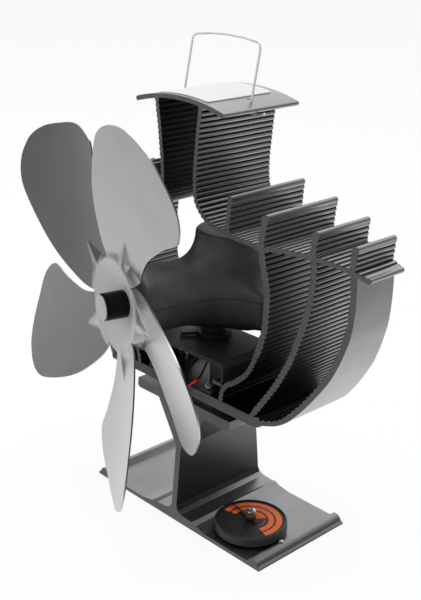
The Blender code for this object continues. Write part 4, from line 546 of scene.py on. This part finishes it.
extruded = Finish("extruded_aluminium", (0.30, 0.303, 0.31), 0.30, 1.0)
place = extruded.place()
across, along, up = place.parts()
beside = across.maths("ABSOLUTE")
groove = extruded.stored("groove")
ribbed = groove.ramp(0.02, 0.12)
hollow = groove.ramp(0.36, 0.90)
draw_lines = place.noise(0.0010, 2.0, (1, 0.008, 1))
tint = place.noise(0.02, 3.0)
smooth_wall = tint.ramp(0.25, 0.75).mix((0.36, 0.363, 0.37), (0.41, 0.413, 0.42))
# The ribbed faces are lighter than the smooth walls as a painted highlight on the rib crests, and the
# bottoms of the grooves are painted near black as painted shade.
metal = ribbed.mix(smooth_wall, (0.45, 0.453, 0.46))
metal = hollow.mix(metal, (0.014, 0.014, 0.015))
# Painted shade: the ribs are painted darker low down, towards the base plate.
shaded_low_ribs = ribbed * (1 - up.ramp(0.090, 0.135))
metal = shaded_low_ribs.mix(metal, (0.060, 0.060, 0.062))
# Painted shade: the top of the base plate, under the tray, is painted near black.
shaded_plate_top = between(up, PLATE_TOP - 0.0013, PLATE_TOP + 0.0007, 0.0005)
shaded_plate_top = shaded_plate_top * (1 - beside.ramp(PLATE_HALF_WIDTH - 0.0035, PLATE_HALF_WIDTH - 0.0005))
metal = shaded_plate_top.mix(metal, (0.035, 0.035, 0.037))
# Painted shade: the faces that turn inwards, high up between the legs, are painted dark.
facing_in = (across * extruded.normal().parts()[0] * -1).ramp(0.001, 0.004)
shaded_between_legs = facing_in * up.ramp(0.170, 0.180)
metal = shaded_between_legs.mix(metal, (0.055, 0.055, 0.057))
# A painted dark spot on the cap stands in for the hole that the bail goes through and the shade inside it.
from_hole = ((beside - BAIL_HOLE_X) ** 2 + (along - BAIL_HOLE_Y) ** 2) ** 0.5
painted_hole_shade = 1 - from_hole.ramp(BAIL_HOLE_RADIUS - 0.0003, BAIL_HOLE_RADIUS)
painted_hole_shade = painted_hole_shade * up.ramp(CAP_TOP_Z - 0.0048, CAP_TOP_Z - 0.0038)
extruded.set("Base Color", painted_hole_shade.mix(metal, (0.004, 0.004, 0.004)))
extruded.set("Roughness", 0.26 + 0.04 * draw_lines + 0.20 * hollow)
extruded.bump(draw_lines, 0.00001, 0.1)

for side, word in ((1, "right"), (-1, "left")):
    shapes = [wall(LEG_CURVE, LEG_HALF, side=side)]
    for curve, hairs in zip(STANDING_FIN_CURVES, (2, 3, 2, 3)):
        shapes.append(wall(curve, FIN_HALF, inset=hairs * HAIR, side=side))
    shapes += [
        wall(MIDDLE_FIN_CURVE, FIN_HALF, round_end=False, inset=4 * HAIR, side=side),
        wall(OUTER_FIN_CURVE, FIN_HALF, round_end=False, inset=5 * HAIR, side=side),
        wall(
            OUTER_WALL_CURVE, OUTER_WALL_HALF, left_ribs=False, round_end=False, inset=6 * HAIR, side=side
        ),
        wall(HOOK_CURVE, HOOK_HALF, left_ribs=False, right_ribs=False, inset=7 * HAIR, side=side),
    ]
    piece = walls("sink_walls_" + word, shapes, extruded.material, sawn_end.material)
    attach(piece, "stand")
    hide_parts("heat_sink")

cap_x = np.linspace(0, CAP_HALF_WIDTH, 9)
cap_curve = np.column_stack([cap_x, CAP_TOP_Z - CAP_FALL * (cap_x / CAP_HALF_WIDTH) ** 2])
cap_halves = [wall(cap_curve, CAP_HALF, left_ribs=False, inset=-HAIR, side=side) for side in (1, -1)]
cap = walls("sink_cap", cap_halves, extruded.material, sawn_end.material)
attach(cap, "stand")
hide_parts("heat_sink")
plate_curve = [(x, PLATE_Z) for x in (0.0, 0.0200, 0.0400, PLATE_HALF_WIDTH)]
plate_halves = [
    wall(plate_curve, PLATE_HALF, False, False, round_end=False, inset=-2 * HAIR, side=side)
    for side in (1, -1)
]
plate = walls("sink_plate", plate_halves, extruded.material, sawn_end.material)
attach(plate, "stand")
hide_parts("heat_sink")

# Screws, pin and studs
# Turned and plated steel: the pan screws of tray, clamp and head, the clamp's spring washers, the
# hollow pivot pin with its clip, the motor's can and shaft, and the two studs in the foot.
steel = Finish("bright_steel", (0.58, 0.57, 0.55), 0.24, 1.0)
place = steel.place()
drawn = place.noise(0.0004, 3.0)
steel.set("Base Color", drawn.mix((0.66, 0.65, 0.63), (0.78, 0.77, 0.75)))
steel.set("Roughness", 0.20 + 0.12 * drawn)
for name in ("clamp_washer", "clamp_screw", "tray_screw", "head_screw"):
    steel.put(nodes[name + "_left"], nodes[name + "_right"])
for name in ("pivot_pin", "pivot_clip", "motor_can", "motor_shaft", "foot_stud_inner", "foot_stud_outer"):
    steel.put(nodes[name])

# Bail handle
# One length of round steel wire with a worn zinc coat, bent into a low loop. Its two feet go through
# the cap and hook outwards under it, so it can swing.
wire = Finish("bail_wire", (0.80, 0.775, 0.735), 0.35, 0.55)
worn_zinc = wire.place().noise(0.0012, 3.0)
wire.set("Base Color", worn_zinc.mix((0.74, 0.715, 0.675), (0.86, 0.835, 0.795)))
wire.set("Roughness", 0.30 + 0.12 * worn_zinc)
wire.put(nodes["bail_handle"])

# Tray and collar
# Black moulded plastic with a fine spark-eroded grain: the tray with its two screwed front legs, the
# collar that carries the head on it, and the motor's end cap, sleeve and hub collar.
moulded = Finish("moulded_black", (0.022, 0.022, 0.024), 0.45)
place = moulded.place()
grain = place.noise(0.0005, 2.0)
rubbed = place.noise(0.015, 3.0)
moulded.set("Base Color", rubbed.ramp(0.3, 0.7).mix((0.018, 0.018, 0.020), (0.028, 0.028, 0.031)))
moulded.set("Roughness", 0.36 + 0.14 * rubbed)
moulded.bump(grain, 0.00003, 0.5)
for name in ("motor_tray", "pivot_collar", "motor_end_cap", "motor_sleeve", "hub_collar"):
    moulded.put(nodes[name])

# Motor head
# Two hollow halves of black moulded plastic that meet at a level seam and are screwed together from
# below. A barrel for the motor runs softly into a round tower above and a wide body below.
HEAD_Y = -0.00335
HEAD_TURN = math.radians(-13.2)
SEAM_Z = 0.1307
SEAM_HALF = 0.00016
BARREL_Z = 0.1303
BARREL_RADIUS = 0.0174
BARREL_FRONT = -0.0478
BARREL_BACK = 0.0100
BARREL_EDGE = 0.003
TOWER_Y = 0.0105
TOWER_TOP = 0.1613
TOWER_RADIUS = 0.0192
TOWER_EDGE = 0.0016
TOWER_TAPER = 0.04
TAPER_HEIGHT = 0.03
HEAD_BOTTOM = 0.1155
BODY_HALF_WIDTH = 0.0372
BODY_FRONT = 0.0060
BODY_BACK = 0.0262
BODY_TOP = 0.1350
BODY_CORNER = 0.0065
BODY_EDGE = 0.0025
TOWER_BLEND = 0.0140
BODY_BLEND = 0.016
HEAD_WALL = 0.0016
RAYS_FROM_Y = 0.004
RAY_LENGTH = 0.08
HALVINGS = 30
HEAD_COLUMNS = 240
HEAD_ROWS = 64
ROWS_CLOSE_TO_SEAM = 1.5


def joined(first, second, blend):
    """Two distances to surfaces as one, with a soft hollow between the surfaces.

    It is the smaller one less a quarter of the blend times the square of a nearness, which falls
    from 1 where both are alike to 0 where they differ by the blend.
    """
    near = np.maximum(blend - np.abs(first - second), 0) / blend
    return np.minimum(first, second) - near * near * blend / 4


def rounded(sideways, lengthwise, edge):
    """Distance to a form from its distances sideways and lengthwise, with a round edge.

    Both are taken to a form that is smaller by the edge's radius: beyond its corner the distance is
    the root of the sum of their squares, beside it the larger of the two, and the radius comes off.
    """
    a = sideways + edge
    b = lengthwise + edge
    return np.minimum(np.maximum(a, b), 0) + np.hypot(np.maximum(a, 0), np.maximum(b, 0)) - edge


def head_distance(x, y, z):
    """Signed distance to the head: a lying barrel, an upright tower and a wide flat body, run together."""
    barrel = rounded(
        np.hypot(x, z - BARREL_Z) - BARREL_RADIUS,
        np.maximum(BARREL_FRONT - y, y - BARREL_BACK),
        BARREL_EDGE,
    )
    wider = TOWER_TAPER * np.clip(TOWER_TOP - z, 0, TAPER_HEIGHT)
    tower = rounded(
        np.hypot(x, y - TOWER_Y) - TOWER_RADIUS - wider,
        np.maximum(HEAD_BOTTOM - z, z - TOWER_TOP),
        TOWER_EDGE,
    )
    plan = rounded(
        np.abs(x) - BODY_HALF_WIDTH,
        np.maximum(BODY_FRONT - y, y - BODY_BACK),
        BODY_CORNER,
    )
    body = rounded(plan, np.maximum(HEAD_BOTTOM - z, z - BODY_TOP), BODY_EDGE)
    return joined(joined(barrel, tower, TOWER_BLEND), body, BODY_BLEND)


def quads_of(number):
    """Faces between the neighbours of a grid of point numbers."""
    corners = [number[:-1, :-1], number[:-1, 1:], number[1:, 1:], number[1:, :-1]]
    return np.stack(corners, axis=-1).reshape(-1, 4)


def head_half(way):
    """One half from the seam to its pole as points and faces; way is 1 for the upper half, -1 below.

    Each point lies where a ray from the middle of the seam leaves the head, found by halving. The
    inside is found in the same way, a wall's thickness before that, and a ring at the seam joins both.
    """
    turn = np.linspace(0, math.tau, HEAD_COLUMNS, endpoint=False)
    lift = math.pi / 2 * np.linspace(0, 1, HEAD_ROWS + 1)[:-1, None] ** ROWS_CLOSE_TO_SEAM
    toward = np.stack(
        [
            np.cos(lift) * np.sin(turn),
            -np.cos(lift) * np.cos(turn),
            np.broadcast_to(way * np.sin(lift), (HEAD_ROWS, HEAD_COLUMNS)),
        ],
        axis=-1,
    )
    toward = np.vstack([toward.reshape(-1, 3), [[0, 0, way]]])
    middle = np.array([0, RAYS_FROM_Y, SEAM_Z])

    def leaving(depth):
        """Where the rays come within a depth of the head's surface, from the inside."""
        low = np.zeros(len(toward))
        high = np.full(len(toward), RAY_LENGTH)
        for _ in range(HALVINGS):
            reach = (low + high) / 2
            outside = head_distance(*(middle + toward * reach[:, None]).T) > -depth
            high = np.where(outside, reach, high)
            low = np.where(outside, low, reach)
        places = middle + toward * reach[:, None]
        places[:, 2] = way * np.maximum(way * (places[:, 2] - SEAM_Z), SEAM_HALF) + SEAM_Z
        return places

    points = np.vstack([leaving(0), leaving(HEAD_WALL)])
    outside_count = len(toward)
    number = np.arange(HEAD_ROWS * HEAD_COLUMNS).reshape(HEAD_ROWS, HEAD_COLUMNS)
    number = np.column_stack([number, number[:, 0]])
    pole = np.full(HEAD_COLUMNS, outside_count - 1)
    faces = quads_of(number).tolist()
    faces += np.column_stack([number[-1, :-1], number[-1, 1:], pole]).tolist()
    faces += [[corner + outside_count for corner in face[::-1]] for face in faces]
    faces += quads_of(np.stack([number[0], number[0] + outside_count]))[:, ::-1].tolist()
    if way < 0:
        faces = [face[::-1] for face in faces]
    return points, faces


shell_black = Finish("shell_black", (0.030, 0.031, 0.034), 0.38)
place = shell_black.place()
grain = place.noise(0.0006, 2.0)
worn = place.noise(0.012, 4.0)
rubbed_black = worn.ramp(0.3, 0.75).mix((0.058, 0.059, 0.064), (0.084, 0.085, 0.092))
# Painted shade: the shell is painted much darker towards the bottom of the head, below the top of its body.
upper = place.parts()[2].ramp(HEAD_BOTTOM - 0.0015, BODY_TOP + 0.0030)
shell_black.set("Base Color", upper.mix((0.014, 0.014, 0.015), rubbed_black))
shell_black.set("Roughness", 0.33 + 0.16 * worn)
shell_black.bump(grain, 0.00004, 0.4)
for way, name in ((1, "head_upper_shell"), (-1, "head_lower_shell")):
    shell = solid_from(name.replace("_shell", ""), *head_half(way), shell_black.material)
    shell.data.transform(Matrix.Translation((0, HEAD_Y, 0)) @ Matrix.Rotation(HEAD_TURN, 4, "Z"))
    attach(shell, "head")
    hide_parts(name)

# Rotor blades
# One aluminium sheet, pressed and left bare: a shallow dish round the boss, then five dished blades
# that stand lower than the dish's rim, each braced to it by one long pressed fold.
BLADE_COUNT = 5
FIRST_BLADE = math.radians(56)
PLATE_DEPTH = -0.0510
SHEET = 0.0008
TRIM = 0.9985
HUB_HOLE = 0.0040
FLAT_RADIUS = 0.0080
FLAT_HEIGHT = 0.0010
RIM_RADIUS = 0.0238
RIM_HEIGHT = 0.0068
RIM_START = RIM_RADIUS - 0.0008
RIM_END = RIM_RADIUS + 0.0056
DISH_POWER = 1.1
BLADE_RISE = 0.1256
BLADE_PITCH = 0.164
BLADE_DISH = 1.79
BLADE_TWIST = 0.85
DISH_RINGS = 14
RIM_STEP = 0.0005
FINE_SHARE = 0.25
FINE_ROWS = 40
OUTER_ROWS = 34
EDGE_STEP = 0.0002
ROOT_ANGLES = np.radians(np.linspace(-17.6, 52.4, 57))
RIGHT_EDGE = np.array(
    [
        (0.02534, -0.00785), (0.03448, -0.00745), (0.04531, -0.00924), (0.05595, -0.01361),
        (0.06628, -0.01878), (0.07552, -0.02474), (0.08039, -0.02574), (0.08625, -0.02425),
        (0.09192, -0.02047), (0.09569, -0.01520), (0.09867, -0.00924), (0.10156, -0.00328),
        (0.10394, 0.00268),
    ]
)
TIP_EDGE = np.array(
    [(0.10394, 0.00268), (0.10523, 0.00894), (0.10553, 0.01451), (0.10493, 0.01858), (0.10354, 0.02216)]
)
LEFT_EDGE = np.array(
    [
        (0.02136, 0.02504), (0.03170, 0.03011), (0.04253, 0.03398), (0.05436, 0.03637),
        (0.06737, 0.03736), (0.07671, 0.03746), (0.08307, 0.03716), (0.08794, 0.03627),
        (0.09321, 0.03408), (0.09788, 0.03061), (0.10136, 0.02643), (0.10354, 0.02216),
    ]
)
FOLD_START = np.array([0.0240, 0.0056])
FOLD_END = np.array([0.0406, 0.0093])
FOLD_LEFT = 0.0075
FOLD_RIGHT = 0.0052
FOLD_BACK = 0.002
FOLD_STEEP = 1.15


def eased(low, high, value):
    """0 below low, 1 above high, and between them three times the share squared less twice its cube."""
    share = np.clip((value - low) / (high - low), 0, 1)
    return share * share * (3 - 2 * share)


def blade_height(s, t):
    """How far the sheet stands forward of the plate at s along the blade's axis and t across it.

    The blade itself is its rise times s, its pitch times t, its dish times t squared and its twist
    times s t, added up. Inside the rim it is the dish, which rises with the distance from the flat
    under the boss, and just outside the rim it falls to the blade. The pressed fold is a ridge at the
    rim's height with two flat sides that meet the blade.
    """
    r = np.hypot(s, t)
    blade = BLADE_RISE * s + BLADE_PITCH * t + BLADE_DISH * t**2 + BLADE_TWIST * s * t
    up_the_dish = np.clip((r - FLAT_RADIUS) / (RIM_RADIUS - FLAT_RADIUS), 0, 1) ** DISH_POWER
    dish = FLAT_HEIGHT + (RIM_HEIGHT - FLAT_HEIGHT) * up_the_dish
    outside = eased(RIM_START, RIM_END, r)
    height = dish + (blade - dish) * outside
    along = FOLD_END - FOLD_START
    length = np.hypot(*along)
    along = along / length
    walked = (s - FOLD_START[0]) * along[0] + (t - FOLD_START[1]) * along[1]
    aside = (t - FOLD_START[1]) * along[0] - (s - FOLD_START[0]) * along[1]
    width = np.where(aside > 0, FOLD_LEFT, FOLD_RIGHT) * np.clip(1 - walked / length, 0.001, 1)
    ridge = np.clip(FOLD_STEEP * (1 - np.abs(aside) / width), 0, 1) * (walked > -FOLD_BACK)
    return height + np.maximum(RIM_HEIGHT - height, 0) * ridge


def blade_grid():
    """Points (s, t) of one blade, rows from the rim to the tip and columns from right to left.

    Between its four edges it is the sum of the two straight blends less the blend of the corners.
    """
    fine = np.linspace(0, FINE_SHARE, FINE_ROWS, endpoint=False)
    rows = np.concatenate([fine, np.linspace(FINE_SHARE, 1, OUTER_ROWS)])
    columns = (ROOT_ANGLES - ROOT_ANGLES[0]) / (ROOT_ANGLES[-1] - ROOT_ANGLES[0])
    root = RIM_RADIUS * np.column_stack([np.cos(ROOT_ANGLES), np.sin(ROOT_ANGLES)])

    def spread(keys, wanted):
        """Points at the wanted shares of the line through the keys."""
        line = smooth_line(keys, EDGE_STEP)
        share = np.linspace(0, 1, len(line))
        return np.column_stack([np.interp(wanted, share, line[:, i]) for i in range(2)])

    right = spread(np.vstack([root[0], RIGHT_EDGE]), rows)
    left = spread(np.vstack([root[-1], LEFT_EDGE]), rows)
    tip = spread(TIP_EDGE, columns)
    u = columns[None, :, None]
    v = rows[:, None, None]
    sides = right[:, None] * (1 - u) + left[:, None] * u
    ends = root[None] * (1 - v) + tip[None] * v
    corners = (root[0] * (1 - u) + root[-1] * u) * (1 - v) + (tip[0] * (1 - u) + tip[-1] * u) * v
    return sides + ends - corners


def sheet_sides(patch):
    """The front and back points of the sheet over a grid of (s, t), half its thickness off its middle.

    They lie along the surface's normal, which is (-slope along s, -1, -slope along t) made one long.
    """
    s, t = patch[..., 0], patch[..., 1]
    height = blade_height(s, t)
    small = 1e-6
    slope_s = (blade_height(s + small, t) - height) / small
    slope_t = (blade_height(s, t + small) - height) / small
    normal = -np.stack([slope_s, np.ones_like(s), slope_t], axis=-1)
    normal *= SHEET / 2 / np.linalg.norm(normal, axis=-1, keepdims=True)
    middle = np.stack([s, PLATE_DEPTH - SHEET / 2 - height, t], axis=-1)
    return np.stack([middle + normal, middle - normal])


def turned(angle):
    """The matrix that turns rows (x, z) about the rotor's axis, from x towards z."""
    return np.array([[math.cos(angle), math.sin(angle)], [-math.sin(angle), math.cos(angle)]])


def turned_about_y(places, angle):
    """Places turned about the rotor's axis, y."""
    result = places.copy()
    result[..., ::2] = places[..., ::2] @ turned(angle)
    return result


def blades():
    """The whole sheet as points and faces, in the rotor's own frame with its axis on y.

    A fifth of the dish and one blade are turned by each fifth of a turn, and points that meet are
    made one. TRIM keeps the sheet's edge a little inside the plain model's.
    """
    grid = blade_grid() * TRIM
    fifth = math.tau / BLADE_COUNT
    rim = RIM_RADIUS * TRIM
    radii = np.linspace(HUB_HOLE, rim - 2 * RIM_STEP, DISH_RINGS)
    radii = np.append(radii, rim - RIM_STEP)
    angles = np.concatenate([ROOT_ANGLES, [ROOT_ANGLES[0] + fifth]])
    dish = radii[:, None, None] * np.stack([np.cos(angles), np.sin(angles)], axis=-1)[None]
    next_root = (grid[0, 0] @ turned(fifth))[None, None]
    dish = np.concatenate([dish, np.concatenate([grid[:1], next_root], axis=1)])
    dish_sides = sheet_sides(dish)
    dish_sides[:, :, -1] = turned_about_y(dish_sides[:, :, 0], fifth)
    points = []
    faces = []
    start = 0
    for k in range(BLADE_COUNT):
        for sides in (dish_sides, sheet_sides(grid)):
            near, far = np.arange(sides[..., 0].size).reshape(sides.shape[:3]) + start
            start += near.size + far.size
            points.append(turned_about_y(sides, FIRST_BLADE + k * fifth).reshape(-1, 3))
            faces += [quads_of(near)[:, ::-1], quads_of(far)]
            if sides is dish_sides:
                edges = [[near[0], far[0]], [far[-1, -2:], near[-1, -2:]]]
            else:
                edges = [[far[-1], near[-1]], [near[:, -1], far[:, -1]], [far[:, 0], near[:, 0]]]
            faces += [quads_of(np.stack(edge)) for edge in edges]
    points = np.vstack(points)
    _, first, same = np.unique(np.round(points, 7), axis=0, return_index=True, return_inverse=True)
    return points[first], same.reshape(-1)[np.vstack(faces)]


silver = Finish("blade_silver", (0.58, 0.583, 0.59), 0.30, 1.0)
place = silver.place()
roll_lines = place.noise(0.0006, 3.0, (0.02, 1, 1))
clouds = place.noise(0.025, 2.0)
pressed = 1 - silver.stored("radius").ramp(RIM_RADIUS - 0.0023, RIM_RADIUS + 0.0027)
bare = clouds.ramp(0.2, 0.8).mix((0.55, 0.553, 0.562), (0.60, 0.603, 0.612))
silver.set("Base Color", pressed.mix(bare, (0.42, 0.422, 0.43)))
silver.set("Metallic", 1 - 0.75 * pressed)
silver.set("Roughness", 0.26 + 0.08 * roll_lines + 0.16 * pressed)
silver.bump(roll_lines, 0.00002, 0.3)
points, faces = blades()
from_axis = np.hypot(points[:, 0], points[:, 2])
blade_sheet = solid_from("blade_sheet", points, faces, silver.material, radius=from_axis)
on_head = Matrix.Translation((0, HEAD_Y, BARREL_Z)) @ Matrix.Rotation(HEAD_TURN, 4, "Z")
blade_sheet.data.transform(on_head)
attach(blade_sheet, "rotor")
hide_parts("fan_blades")

# Rotor boss
# A turned black boss with a high gloss, pushed on the motor's shaft in front of the sheet. A bare
# silver disc with fine turning marks sits on its front.
disc_silver = Finish("disc_silver", (0.62, 0.63, 0.65), 0.30, 1.0)
spun = disc_silver.place().noise(0.0004, 3.0, (1, 1, 0.02))
disc_silver.set("Roughness", 0.22 + 0.12 * spun)
disc_silver.put(nodes["hub_disc"])
gloss = Finish("gloss_black", (0.003, 0.003, 0.0035), 0.14, Specular_IOR_Level=0.12)
turning = gloss.place().noise(0.0005, 2.0, (0.1, 1, 1))
gloss.set("Roughness", 0.10 + 0.08 * turning)
gloss.put(nodes["hub_boss"])

# Thermometer cup and dial
# A pressed steel cup, painted black, stands on the foot. The dial in it is a black sheet printed in
# orange: two broad bands with ticks between them, a sector and a fine line round the middle.
DIAL_X = 0.0390
DIAL_Y = -0.0110
ZERO_DEGREES = 195
SCALE_DEGREES = (1.0, 213.0)
GAP_DEGREES = (17.0, 18.6)
GAP_RADIUS = 0.0090
TICK_DEGREES = 17.0
TICK_SHARE = (0.47, 0.53)
TICK_RADII = (0.01290, 0.01350)
OUTER_BAND_RADII = (0.01370, 0.01690)
INNER_BAND_RADII = (0.00960, 0.01260)
SECTOR_RADII = (0.0024, 0.0086)
SECTOR_DEGREES = (36.0, 137.0)
FINE_LINE_RADII = (0.00735, 0.00765)
FINE_LINE_DEGREES = (150.0, 205.0)
PRINT_EDGE = 0.00010
cup_black = Finish("cup_black", (0.028, 0.028, 0.029), 0.38)
place = cup_black.place()
peel = place.noise(0.0009, 2.0)
cup_black.set("Roughness", 0.30 + 0.18 * peel)
cup_black.bump(peel, 0.00004, 0.5)
cup_black.put(nodes["thermometer_cup"])

dial = Finish("dial_print", (0.014, 0.014, 0.015), 0.5)
place = dial.place()
x, y = place.parts()[:2]
x = x - DIAL_X
y = y - DIAL_Y
radius = (x * x + y * y) ** 0.5
degrees = (ZERO_DEGREES - math.degrees(1) * y.maths("ARCTAN2", x)).maths("FLOORED_MODULO", 360.0)
on_scale = between(degrees, *SCALE_DEGREES, 0.4)
gap = 1 - between(degrees, *GAP_DEGREES, 0.3) * (radius > GAP_RADIUS)
outer_band = between(radius, *OUTER_BAND_RADII, PRINT_EDGE)
inner_band = between(radius, *INNER_BAND_RADII, PRINT_EDGE)
sector = between(radius, *SECTOR_RADII, PRINT_EDGE) * between(degrees, *SECTOR_DEGREES, 0.6)
fine_line = between(radius, *FINE_LINE_RADII, PRINT_EDGE / 2) * between(degrees, *FINE_LINE_DEGREES, 0.6)
tick = (degrees / TICK_DEGREES).maths("FRACT")
ticks = between(tick, *TICK_SHARE, 0.01) * between(radius, *TICK_RADII, PRINT_EDGE) * on_scale
orange = (outer_band + inner_band + ticks) * on_scale * gap + sector + fine_line
mottled = place.noise(0.0012, 3.0)
paint = mottled.ramp(0.2, 0.8).mix((0.98, 0.150, 0.025), (1.0, 0.205, 0.045))
dial.set("Base Color", orange.maths("MINIMUM", 1.0).mix((0.016, 0.016, 0.017), paint))
dial.set("Roughness", 0.46 + 0.10 * mottled)
dial.put(nodes["thermometer_dial"])

# Thermometer pointer
# A hand stamped from thin steel and blued, so it is nearly black with a warm sheen. It turns flat
# over the dial.
hand = Finish("blued_hand", (0.10, 0.10, 0.09), 0.40, 0.9)
drawn = hand.place().noise(0.0005, 2.0, (0.1, 1, 1))
hand.set("Base Color", drawn.mix((0.07, 0.07, 0.065), (0.14, 0.135, 0.12)))
hand.put(nodes["thermometer_pointer"])

# Thermometer hub and screw
# A turned brass nut with a knurled edge, under a slotted pan screw of plated steel that keeps nut
# and hand on. Here the nut rides the stand and only the hand turns. The spiral below the dial is
# brass strip.
NUT_BOTTOM = 0.0097
NUT_TOP = 0.0128
NUT_RADIUS = 0.0029
NUT_EDGE = 0.0002
NUT_KNURLS = 30
KNURL_DEPTH = 0.00016
SCREW_BOTTOM = 0.0133
SCREW_TOP = 0.0151
SCREW_RADIUS = 0.0027
SCREW_COLUMNS = 48
SLOT_FLOOR = SCREW_BOTTOM + 0.0009
SLOT_HALF = 0.00048
SLOT_ACROSS = np.array([0.6, 0.8])


def turned_piece(profile, columns, knurl=0.0, knurl_count=0, knurled=()):
    """A closed turned piece: the profile of radius and height goes round the upright axis.

    The rows named in knurled fall back by the knurl times half of one plus the cosine of the angle
    times the number of knurls.
    """
    profile = np.asarray(profile, float)
    angle = np.linspace(0, math.tau, columns, endpoint=False)
    radius = np.repeat(profile[:, :1], columns, axis=1)
    for row in knurled:
        radius[row] -= knurl * (0.5 + 0.5 * np.cos(angle * knurl_count))
    height = np.repeat(profile[:, 1:], columns, axis=1)
    points = np.stack([radius * np.cos(angle), radius * np.sin(angle), height], axis=-1)
    number = np.arange(height.size).reshape(height.shape)
    number = np.column_stack([number, number[:, 0]])
    faces = quads_of(number).tolist()
    faces.append(number[0, :-1].tolist())
    faces.append(number[-1, :-1][::-1].tolist())
    return points.reshape(-1, 3), faces


brass = Finish("turned_brass", (0.62, 0.42, 0.16), 0.30, 1.0)
place = brass.place()
turning = place.noise(0.0003, 2.0, (0.05, 0.05, 1))
brass.set("Base Color", turning.mix((0.52, 0.34, 0.12), (0.68, 0.48, 0.20)))
brass.set("Roughness", 0.24 + 0.16 * turning)
brass.put(nodes["bimetal_spiral"])
nut_profile = [
    (0.0023, NUT_BOTTOM), (NUT_RADIUS - NUT_EDGE, NUT_BOTTOM), (NUT_RADIUS, NUT_BOTTOM + NUT_EDGE),
    (NUT_RADIUS, NUT_TOP - NUT_EDGE), (NUT_RADIUS - NUT_EDGE, NUT_TOP), (0.0018, NUT_TOP),
]
points, faces = turned_piece(nut_profile, NUT_KNURLS * 6, KNURL_DEPTH, NUT_KNURLS, (2, 3))
points[:, :2] += (DIAL_X, DIAL_Y)
nut = solid_from("brass_nut", points, faces, brass.material)
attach(nut, "stand")
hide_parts("thermometer_hub")

plated = Finish("plated_steel", (0.60, 0.59, 0.57), 0.24, 1.0)
place = plated.place()
brushed = place.noise(0.0004, 3.0, (0.2, 1, 1))
plated.set("Base Color", brushed.mix((0.52, 0.51, 0.49), (0.66, 0.65, 0.63)))
plated.set("Roughness", 0.20 + 0.14 * brushed)
screw_profile = [
    (0.0010, NUT_BOTTOM), (0.0010, SCREW_BOTTOM - 0.0001), (0.0012, SCREW_BOTTOM),
    (SCREW_RADIUS - 0.0002, SCREW_BOTTOM), (SCREW_RADIUS, SCREW_BOTTOM + 0.0003),
    (SCREW_RADIUS, SCREW_BOTTOM + 0.0008), (SCREW_RADIUS * 0.88, SCREW_TOP - 0.0004),
    (SCREW_RADIUS * 0.60, SCREW_TOP - 0.0001), (SCREW_RADIUS * 0.20, SCREW_TOP),
]
points, faces = turned_piece(screw_profile, SCREW_COLUMNS)
in_slot = (np.abs(points[:, :2] @ SLOT_ACROSS) < SLOT_HALF) & (points[:, 2] > SLOT_FLOOR)
points[in_slot, 2] = SLOT_FLOOR
points[:, :2] += (DIAL_X, DIAL_Y)
gauge_screw = solid_from("gauge_screw", points, faces, plated.material)
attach(gauge_screw, "stand")
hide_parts("thermometer_screw")

# Label plate
# A plain foil label with round corners, stuck on top of the cap and following its arch. The foil is
# pale and a little uneven.
foil = Finish("label_foil", (0.62, 0.62, 0.61), 0.45, 0.0)
place = foil.place()
press = place.noise(0.004, 3.0)
foil.set("Base Color", press.mix((0.64, 0.64, 0.635), (0.72, 0.72, 0.71)))
foil.set("Roughness", 0.40 + 0.12 * press)
foil.bump(press, 0.00005, 0.4)
foil.put(nodes["label_plate"])

# Leads
# Stranded wire in soft plastic, one red and one black. Outside a short length of the plastic in sight
# in front of the base plate, both are painted nearly black as painted shade under the tray.
IN_SIGHT_LOW = 0.08375
IN_SIGHT_HIGH = 0.08825
SHADE_EDGE = 0.00025
for name, low, high in (
    ("red_lead", (0.50, 0.012, 0.010), (0.62, 0.020, 0.016)),
    ("black_lead", (0.012, 0.012, 0.013), (0.022, 0.022, 0.023)),
):
    jacket = Finish(name + "_jacket", low, 0.4)
    place = jacket.place()
    strands = place.noise(0.001, 2.0)
    # Painted shade: outside this short length the leads are painted nearly black.
    in_sight = between(place.parts()[2], IN_SIGHT_LOW, IN_SIGHT_HIGH, SHADE_EDGE)
    jacket.set("Base Color", in_sight.mix((0.010, 0.010, 0.011), strands.mix(low, high)))
    jacket.bump(strands, 0.00003, 0.4)
    jacket.put(nodes[name])

# Inside the motor and the thermometer
# Stacked steel sheets, enamelled copper wire, copper segments, carbon brushes, sintered bronze
# bearings and ceramic magnets. None of them shows from outside.
WINDINGS = ["winding_1", "winding_2", "winding_3"]
BRUSHES = ["brush_left", "brush_right"]
BEARINGS = ["front_bearing", "rear_bearing"]
MAGNETS = ["magnet_left", "magnet_right", "thermometer_magnet"]
for name, low, high, rough, metal, pieces in (
    ("core_sheets", (0.20, 0.20, 0.21), (0.34, 0.34, 0.35), 0.45, 1.0, ["armature_core"]),
    ("enamelled_copper", (0.34, 0.12, 0.05), (0.55, 0.22, 0.09), 0.35, 1.0, WINDINGS),
    ("bare_copper", (0.60, 0.30, 0.18), (0.72, 0.38, 0.24), 0.30, 1.0, ["commutator"]),
    ("brush_carbon", (0.02, 0.02, 0.02), (0.05, 0.05, 0.05), 0.60, 0.2, BRUSHES),
    ("sintered_bronze", (0.36, 0.25, 0.12), (0.48, 0.34, 0.18), 0.50, 1.0, BEARINGS),
    ("magnet_ceramic", (0.035, 0.035, 0.037), (0.06, 0.06, 0.062), 0.60, 0.1, MAGNETS),
):
    inner = Finish(name, low, rough, metal)
    speckle = inner.place().noise(0.0006, 2.0)
    inner.set("Base Color", speckle.mix(low, high))
    inner.set("Roughness", rough - 0.06 + 0.12 * speckle)
    inner.put(*[nodes[piece] for piece in pieces])
